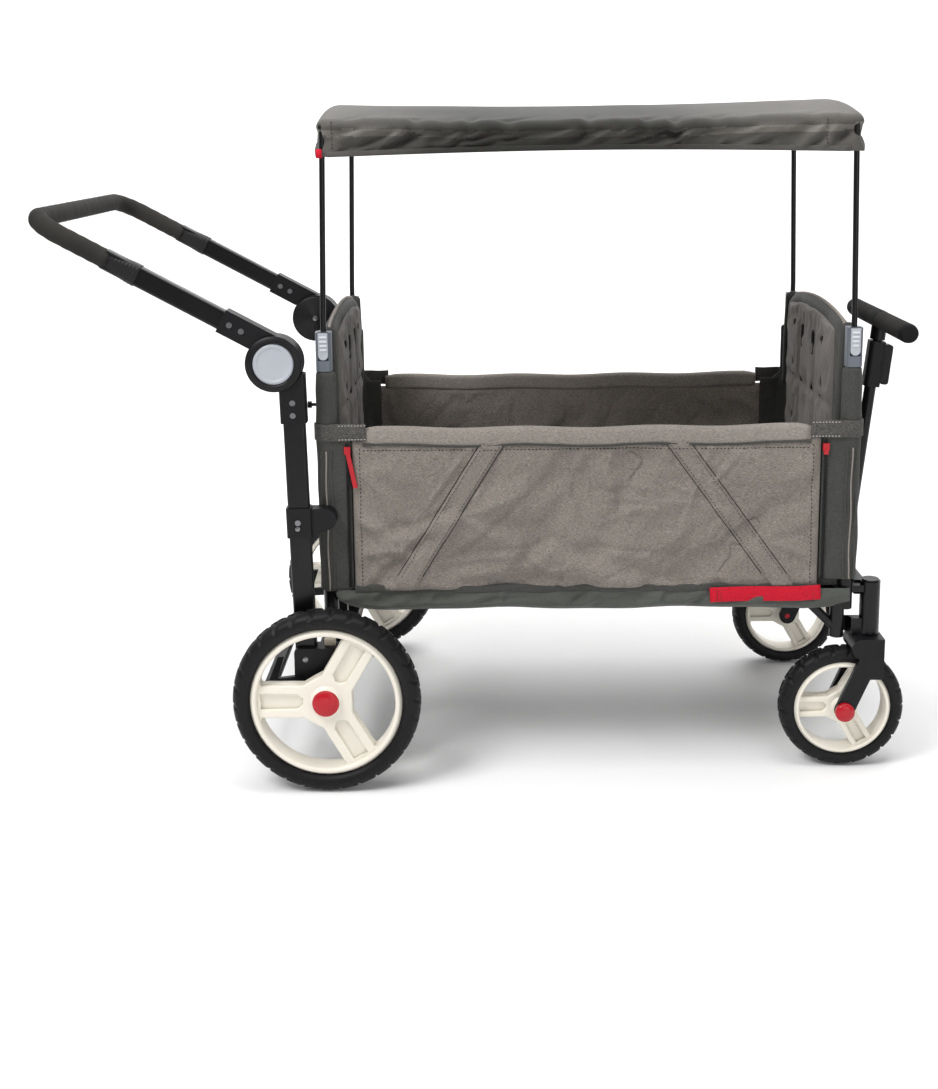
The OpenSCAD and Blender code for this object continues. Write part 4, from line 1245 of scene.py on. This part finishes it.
CANOPY_INSET = 0.0015
canopy_x0 = cover_low.x + CANOPY_INSET
canopy_x1 = cover_high.x - CANOPY_INSET
canopy_half_y = cover_high.y - CANOPY_INSET
canopy_length = canopy_x1 - canopy_x0
ROOF_R = 1.10
ROOF_SAG = 0.0075
CANOPY_BEND = 0.014
SKIRT_ROWS = 12


def roof_at(x, y):
    """Height of the arched roof, which sags between its hoops."""
    t = min(1.0, max(0.0, (x - canopy_x0) / canopy_length))
    sag = ROOF_SAG * abs(math.sin(math.pi * t)) ** 0.8
    ripple = 0.0010 * math.sin(x * 23 + y * 7) * math.sin(y * 19)
    return cover_high.z - 0.0005 - ROOF_R + math.sqrt(ROOF_R ** 2 - y * y) - sag + ripple


def canopy_folds():
    """Diagonal creases for the right side (-1), both ends (0) and the left side (1)."""
    folds = {}
    for facing in (-1.0, 0.0, 1.0):
        span = (canopy_x0, canopy_x1) if facing else (-canopy_half_y, canopy_half_y)
        deep = make_folds(40, span, (-0.055, 0.000), (0.75, 0.30), (0.03, 0.07),
                          (0.006, 0.012), (0.0060, 0.0110))
        small = make_folds(40, span, (-0.06, 0.01), (0.8, 0.5), (0.015, 0.040),
                           (0.0035, 0.006), (0.0016, 0.0036))
        folds[facing] = deep + small
    return folds


def roof_point(u, across, folds):
    """Point of the roof; u runs from 0 to 1 along X and across from -1 to 1 along Y."""
    x = canopy_x0 + CANOPY_BEND + (canopy_length - 2 * CANOPY_BEND) * u
    y = (canopy_half_y - CANOPY_BEND) * math.copysign(1 - (1 - abs(across)) ** 1.6, across)
    inward = canopy_half_y - abs(y)
    calm = 0.5 * min(1.0, (x - canopy_x0) / 0.05, (canopy_x1 - x) / 0.05) * math.exp(-(inward / 0.04) ** 2)
    crumple = folds_at(folds[math.copysign(1.0, across)], x, inward - CANOPY_BEND) * calm
    return Vector((x, y, roof_at(x, y) + max(-0.006, min(0.002, crumple))))


def skirt_point(base, out, t, folds):
    """Point of the turned-down skirt, t of the way from the bend at base to the hem."""
    sideways = out.y != 0
    along = base.x if sideways else base.y
    low_end, high_end = (canopy_x0, canopy_x1) if sideways else (-canopy_half_y, canopy_half_y)
    share = min(1, max(0, (base.x - canopy_x0) / canopy_length))
    lift = 0.007 * math.sin(math.pi * share) if sideways else 0.0
    start_z = base.z - CANOPY_BEND
    creases = folds_at(folds[math.copysign(1.0, out.y) if sideways else 0.0], along, -0.065 * t)
    hold = math.sin(math.pi * (0.22 + 0.58 * t)) * min(1.0, min(along - low_end, high_end - along) / 0.03)
    p = base + out * (CANOPY_BEND - 0.006 * hold + min(0.009, creases * max(0.0, hold)))
    p.z = start_z + (cover_low.z + lift - start_z) * t
    return p


def canopy_mesh():
    """Points and faces of one sheet, and the hem's points on the right (-1) and left (1) side."""
    nu, nv = 180, 50
    folds = canopy_folds()
    points = [roof_point(i / nu, -1 + 2 * j / nv, folds) for i in range(nu + 1) for j in range(nv + 1)]
    index = {(i, j): i * (nv + 1) + j for i in range(nu + 1) for j in range(nv + 1)}
    faces = [(index[i, j], index[i + 1, j], index[i + 1, j + 1], index[i, j + 1])
             for i in range(nu) for j in range(nv)]
    loop = ([(i, 0) for i in range(nu)] + [(nu, j) for j in range(nv)]
            + [(i, nv) for i in range(nu, 0, -1)] + [(0, j) for j in range(nv, 0, -1)])
    count = len(loop)
    previous = [index[key] for key in loop]
    hem_lines = {-1.0: [], 1.0: []}
    drops = [0.3, 0.65, 1.0] + [1 + k for k in range(1, SKIRT_ROWS + 1)]
    for d in drops:
        ring = []
        for i, j in loop:
            base = points[index[i, j]]
            nx = -1.0 if i == 0 else (1.0 if i == nu else 0.0)
            ny = -1.0 if j == 0 else (1.0 if j == nv else 0.0)
            out = Vector((nx, ny, 0))
            if out.length > 1:
                out.normalize()
            if d <= 1:
                a = d * math.pi / 2
                turn = Vector((0, 0, -CANOPY_BEND * (1 - math.cos(a))))
                p = base + out * (CANOPY_BEND * math.sin(a)) + turn
            else:
                p = skirt_point(base, out, (d - 1) / SKIRT_ROWS, folds)
            ring.append(len(points))
            points.append(p)
            if d == drops[-1] and ny and not nx:
                hem_lines[ny].append(p)
        faces += [(previous[k], previous[(k + 1) % count], ring[(k + 1) % count], ring[k])
                  for k in range(count)]
        previous = ring
    return points, faces, hem_lines


def canopy():
    """One continuous sheet: an arched roof that turns down into a skirt on all four sides."""
    points, faces, hem_lines = canopy_mesh()
    cover = make_object("canopy_sheet", points, faces, CANOPY, "rear_canopy")
    cover.data.materials.append(CANOPY_BAND)
    for p in cover.data.polygons:
        c = p.center
        side_top = roof_at(c.x, canopy_half_y) - CANOPY_BEND
        if abs(c.y) > canopy_half_y - 0.012 and side_top - 0.010 < c.z < side_top + 0.0005:
            p.material_index = 1
    thicken = cover.modifiers.new("thickness", "SOLIDIFY")
    thicken.thickness = 0.0010
    thicken.offset = -1
    subdivide(cover)
    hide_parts("canopy_cover")
    folds_with_frame(cover)
    canopy_trims(surface_of(cover), hem_lines)


def canopy_trims(skin, hem_lines):
    """Hem and stitched seams on the long sides, and a plain red tag at the rear right corner."""
    for side, sign in (("left", 1.0), ("right", -1.0)):
        edge = [p + Vector((0, sign * 0.0003, 0.0038)) for p in hem_lines[sign][::3]]
        hem = sweep(f"canopy_hem_{side}", edge, lambda t: rounded_section(0.0026, 0.0085, 0.0012, 2), CANOPY,
                    "rear_canopy")
        folds_with_frame(hem)
        for k, x in enumerate((canopy_x0 + 0.026, canopy_x1 - 0.060)):
            line = [on_surface(skin, x, cover_low.z + 0.012 + 0.040 * i / 8, sign, 0.0002) for i in range(9)]
            folds_with_frame(dashes(f"canopy_seam_{side}_{k}", line, Vector((0, sign, 0)), THREAD_DARK,
                                    "rear_canopy"))
    corner = Vector((canopy_x0 + 0.006, -canopy_half_y, cover_low.z + 0.006))
    rings = [[corner + Vector((a, y, b)) for a, b in rounded_section(0.009, 0.014, 0.001, 2)]
             for y in (0.0005, -0.0012)]
    tag = loft("canopy_tag", rings, WEB_RED, "rear_canopy")
    folds_with_frame(tag)


canopy()

# ---------- push handle ----------

hub_left = middle("hub_button_left")
ARM_RISE = math.radians(28.6)
ARM_OFFSET = 0.022
ARM_Y = 0.264
REACH = 0.432
BEND_R = 0.050
SLEEVE_START, SLEEVE_END = 0.247, 0.299
STRAIGHT_STEP = 0.0045
STRAIGHT_STEPS = 18
along_arm = Vector((-math.cos(ARM_RISE), 0, math.sin(ARM_RISE)))
across_arm = Vector((math.sin(ARM_RISE), 0, math.cos(ARM_RISE)))


def arm_point(s, y, up=ARM_OFFSET):
    return Vector((hub_left.x, y, hub_left.z)) + along_arm * s + across_arm * up


def grip_path():
    """Middle line of the foam: up the left arm, across the bar and down the right arm."""
    straight = [SLEEVE_END - 0.002 + STRAIGHT_STEP * k for k in range(STRAIGHT_STEPS + 1)]
    quarter = [math.pi / 2 * k / 16 for k in range(1, 16)]
    bend = [(REACH - BEND_R + BEND_R * math.sin(a), ARM_Y - BEND_R + BEND_R * math.cos(a)) for a in quarter]
    points = [arm_point(along, ARM_Y) for along in straight]
    points += [arm_point(along, y) for along, y in bend]
    points += [arm_point(REACH, (ARM_Y - BEND_R) * (1 - k / 30)) for k in range(61)]
    points += [arm_point(along, -y) for along, y in reversed(bend)]
    points += [arm_point(along, -ARM_Y) for along in reversed(straight)]
    return points


def foam_section(t):
    end = min(1.0, 0.86 + min(t, 1 - t) * 20)
    r = 0.0152 * end + 0.00025 * math.sin(t * 180)
    return circle_section(r, 26)


foam = sweep("foam_grip_cover", grip_path(), foam_section, FOAM, "push_handle", up=across_arm)
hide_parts("foam_grip")


def sleeve_section(t):
    """Section of the rubber sleeve: ridged, and narrower and rounder towards the foam."""
    ridge = 0.0007 if 0.10 < t < 0.90 and (t * 9) % 1 < 0.22 else 0.0
    taper = 1 - 0.17 * max(0.0, (t - 0.2) / 0.8)
    w, h = 0.0256 * taper - ridge * 2, 0.0356 * taper - ridge * 2
    return rounded_section(w, h, min(w, h) / 2.05 * (0.75 + 0.22 * t), 6)


def arm_sleeve(side, sign):
    path = [arm_point(SLEEVE_START + (SLEEVE_END - SLEEVE_START) * k / 44, sign * ARM_Y) for k in range(45)]
    sleeve = sweep(f"arm_sleeve_{side}", path, sleeve_section, SOFT_PLASTIC, "push_handle", up=across_arm)
    return sleeve


def mirrored(profile, sign):
    """The same profile for the left (1) or the right (-1) side."""
    return [(radius, along * sign) for radius, along in profile]


BEZEL = [(0.0330, -0.004), (0.0330, 0.0030), (0.0345, 0.0040), (0.0400, 0.0030), (0.0432, 0.0008),
         (0.0438, -0.004)]
HUB_CAP = [(0.0318, -0.010), (0.0322, -0.0024), (0.0312, -0.0010), (0.0285, 0.0), (0.0262, -0.0004),
           (0.0252, -0.0014), (0.0235, -0.0016), (0.0130, -0.0004), (0.0005, 0.0)]
HUB_DISC = [(0.041, -0.0002), (0.0385, -0.0016), (0.0120, -0.0016), (0.0100, -0.0030), (0.0005, -0.0030)]


def hub_parts(side, sign):
    """Bezel and silver cap on the hub's outer face, disc and screw on its inner face."""
    hub = middle(f"hub_button_{side}")
    face_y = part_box("arm_brackets")[1].y * sign
    ring = lathe(f"hub_bezel_{side}", mirrored(BEZEL, sign), (hub.x, face_y - sign * 0.0008, hub.z), PLASTIC,
                 "push_handle", steps=72)
    low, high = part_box(f"hub_button_{side}")
    outer_y = high.y if sign > 0 else low.y
    cap = lathe(f"hub_cap_{side}", mirrored(HUB_CAP, sign), (hub.x, outer_y, hub.z), SILVER,
                f"handle_button_{side}", steps=72)
    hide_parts(f"hub_button_{side}")
    inner_y = sign * (ARM_Y - 0.020)
    plate = lathe(f"hub_disc_{side}", mirrored(HUB_DISC, sign), (hub.x, inner_y, hub.z), PLASTIC,
                  "rear_frame", steps=64)
    screw(f"hub_screw_{side}", (hub.x, inner_y - sign * 0.0028, hub.z), -sign, ZINC, "rear_frame", r=0.0055)


def post_screws(side, sign):
    """Screws in the post's clamp and in the axle housing."""
    hub = middle(f"hub_button_{side}")
    screw(f"clamp_screw_{side}", (hub.x + 0.029, sign * (ARM_Y + 0.0142), 0.4215), sign, ZINC, "rear_frame")
    housing_low, housing_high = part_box("axle_housings")
    housing_x = (housing_low.x + housing_high.x) / 2
    at = (housing_x - 0.020, sign * (housing_high.y + 0.0002), 0.206)
    screw(f"housing_screw_{side}", at, sign, ZINC, "rear_frame", r=0.005)


sleeve_pieces = [arm_sleeve(side, sign) for side, sign in SIDES]
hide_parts("grip_sleeves")
for side, sign in SIDES:
    hub_parts(side, sign)
    post_screws(side, sign)

# ---------- pull handle ----------

grips_low, grips_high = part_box("pull_grips")
grip_at = (grips_low + grips_high) / 2
GRIP_RIDGES = 30
GRIP_MIDDLE = [(0.0150, -0.0152), (0.0162, -0.0144), (0.0164, 0.0), (0.0162, 0.0144), (0.0150, 0.0152)]
END_CAP = [(0.0148, 0.1532), (0.0160, 0.1540), (0.0160, 0.1660), (0.0152, 0.1715), (0.0130, 0.1748),
           (0.0090, 0.1759), (0.0004, 0.1760)]


def ribbed_foam():
    """Profile of the foam from the middle sleeve to the end cap, with shallow grooves."""
    profile = [(0.0100, 0.0146), (0.0150, 0.0148), (0.0158, 0.0165)]
    for k in range(GRIP_RIDGES):
        y = 0.020 + (0.150 - 0.020) * k / GRIP_RIDGES
        profile += [(0.0159, y), (0.0159, y + 0.0030), (0.0153, y + 0.0036), (0.0153, y + 0.0040)]
    return profile + [(0.0159, 0.1515), (0.0159, 0.1535), (0.0150, 0.1540)]


def pull_grip(side, sign):
    grip = lathe(f"pull_grip_foam_{side}", mirrored(ribbed_foam(), sign), grip_at, FOAM, "pull_upper",
                 steps=48)
    cap = lathe(f"pull_end_cap_{side}", mirrored(END_CAP, sign), grip_at, CAP_RUBBER, "pull_upper", steps=48)
    if sign > 0:
        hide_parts("pull_grips")


grip_middle = lathe("pull_grip_middle", GRIP_MIDDLE, grip_at, CAP_RUBBER, "pull_upper", steps=48)
for side, sign in SIDES:
    pull_grip(side, sign)

# ---------- clip buttons ----------


def clip_face(end, side, sign):
    """Ribbed press button with a rounded foot."""
    node = f"clip_button_{end}_{side}"
    low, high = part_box(node)
    mid_x = (low.x + high.x) / 2
    half = (high.x - low.x) / 2 - 0.0002
    outline = [(-half, high.z - 0.0004), (half, high.z - 0.0004)]
    outline += arc(0, low.z + half, half, 0, -math.pi, 12)
    back, front = (low.y, high.y) if sign > 0 else (-high.y, -low.y)
    v, f = flat_plate([outline], (mid_x, 0, 0), sign * (back + 0.0005), sign * (front - 0.0010), 0.0007)
    plate = make_object(f"button_{end}_{side}", v, f, SILVER, f"clip_{end}_{side}", smooth=False)
    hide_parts(node)
    for k in range(4):
        z = high.z - 0.0065 - 0.0068 * k
        wide = half * (0.80 - 0.04 * k)
        ridge = [Vector((mid_x + a, sign * (front - 0.0013), z + b))
                 for a, b in rounded_section(2 * wide, 0.0034, 0.0016, 4)]
        top = [Vector((mid_x + a, sign * (front + 0.0004), z + b))
               for a, b in rounded_section(2 * wide - 0.0012, 0.0020, 0.0009, 4)]
        bar = loft(f"button_{end}_{side}_ridge_{k}", [ridge, top], CLIP_LIGHT, f"clip_{end}_{side}")
        bar.modifiers.new("edges", "EDGE_SPLIT").split_angle = math.radians(35)


for end in ("rear", "front"):
    for side, sign in SIDES:
        clip_face(end, side, sign)

# ---------- small things ----------


def cream_tab(side, sign):
    """Small cream tab on top of the axle housing."""
    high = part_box("axle_housings")[1]
    corners = [Vector((high.x - 0.020 + x, sign * (0.262 + y), high.z + z))
               for x in (-0.009, 0.009) for y in (-0.006, 0.006) for z in (-0.001, 0.011)]
    faces = [(0, 1, 3, 2), (4, 5, 7, 6), (0, 1, 5, 4), (2, 3, 7, 6), (0, 2, 6, 4), (1, 3, 7, 5)]
    tab = make_object(f"cream_tab_{side}", corners, faces, CREAM, "rear_frame")
    soften(tab, 0.0015, 3)


for side, sign in SIDES:
    cream_tab(side, sign)

# ---------- finishes for the CAD nodes that show ----------

BY_SLOT = {"satin_black_steel": STEEL, "black_plastic": PLASTIC, "grip_foam": FOAM, "rim_plastic": RIM,
           "tyre_rubber": TYRE, "red_plastic": RED, "silver_plastic": SILVER, "clip_plastic": CLIP,
           "zinc_steel": ZINC, "taupe_fabric": TAUPE, "charcoal_fabric": CHARCOAL, "skirt_fabric": NYLON,
           "canopy_fabric": CANOPY, "red_webbing": WEB_RED}
EDGE_MM = {"post_clamps": 1.5, "axle_housings": 1.5, "hub_bases": 1.2, "arm_brackets": 1.6, "fork_left": 1.8,
           "fork_right": 1.8, "pull_housing": 1.2, "release_trigger": 1.0, "brake_pedal": 1.2,
           "rear_pole_clips": 1.0, "front_pole_clips": 1.0, "zip_pull_rear": 0.6, "zip_pull_front": 0.6,
           "head_tubes": 0.8, "front_cross_beam": 0.8, "rear_axle_beam": 0.8}
for part in frame["record"]["subparts"]:
    obj = frame["nodes"][part["node"]]
    obj.data.materials.clear()
    obj.data.materials.append(BY_SLOT[part["material_slot"]])
    if not obj.hide_render:
        for p in obj.data.polygons:
            p.use_smooth = True
        if part["node"] in EDGE_MM:
            soften(obj, EDGE_MM[part["node"]] / 1000)
        else:
            split = obj.modifiers.new("edges", "EDGE_SPLIT")
            split.split_angle = math.radians(35)

# ---------- floor, backdrop and light ----------


def studio():
    backdrop_y, wall_top, reach, bend = 2.6, 4.5, 9.0, 1.2
    section = [(-reach, 0.0), (backdrop_y - bend, 0.0)]
    section += [(backdrop_y - bend + bend * math.sin(a), bend * (1 - math.cos(a)))
                for a in [math.pi / 2 * k / 12 for k in range(1, 13)]]
    section.append((backdrop_y, wall_top))
    rings = [[Vector((x, y, z)) for y, z in section] for x in (-reach, reach)]
    paper, tree, shader = new_material("paper", (0.88, 0.88, 0.88), 0.9)
    tone = ramp(tree, noise_at(tree, 0.8, 2.0), [(0.3, (0.87, 0.87, 0.87)), (0.7, (0.90, 0.90, 0.90))])
    tree.links.new(tone, shader.inputs["Base Color"])
    sweep_paper = loft("studio_sweep", rings, paper, None, closed=False, caps=False)
    world = bpy.data.worlds.new("world")
    world.use_nodes = True
    world.node_tree.nodes["Background"].inputs["Color"].default_value = (1, 1, 1, 1)
    world.node_tree.nodes["Background"].inputs["Strength"].default_value = 0.30
    scene.world = world
    for name, at, size, power, aim in (("key", (-1.9, -1.9, 3.4), 1.5, 105, (0, -0.2, 0.5)),
                                       ("fill", (1.6, -3.2, 1.3), 2.2, 26, (0, 0, 0.5)),
                                       ("top", (0.5, -0.3, 3.2), 2.0, 62, (0, 0, 0.4)),
                                       ("back", (0.3, 1.7, 3.0), 2.5, 60, (0, 2.6, 0.6))):
        data = bpy.data.lights.new(name, "AREA")
        data.shape = "SQUARE"
        data.size = size
        data.energy = power
        light = bpy.data.objects.new(name, data)
        scene.collection.objects.link(light)
        light.location = at
        light.rotation_mode = "QUATERNION"
        light.rotation_quaternion = (Vector(aim) - Vector(at)).to_track_quat("-Z", "Y")


studio()
scene.view_settings.view_transform = "Standard"
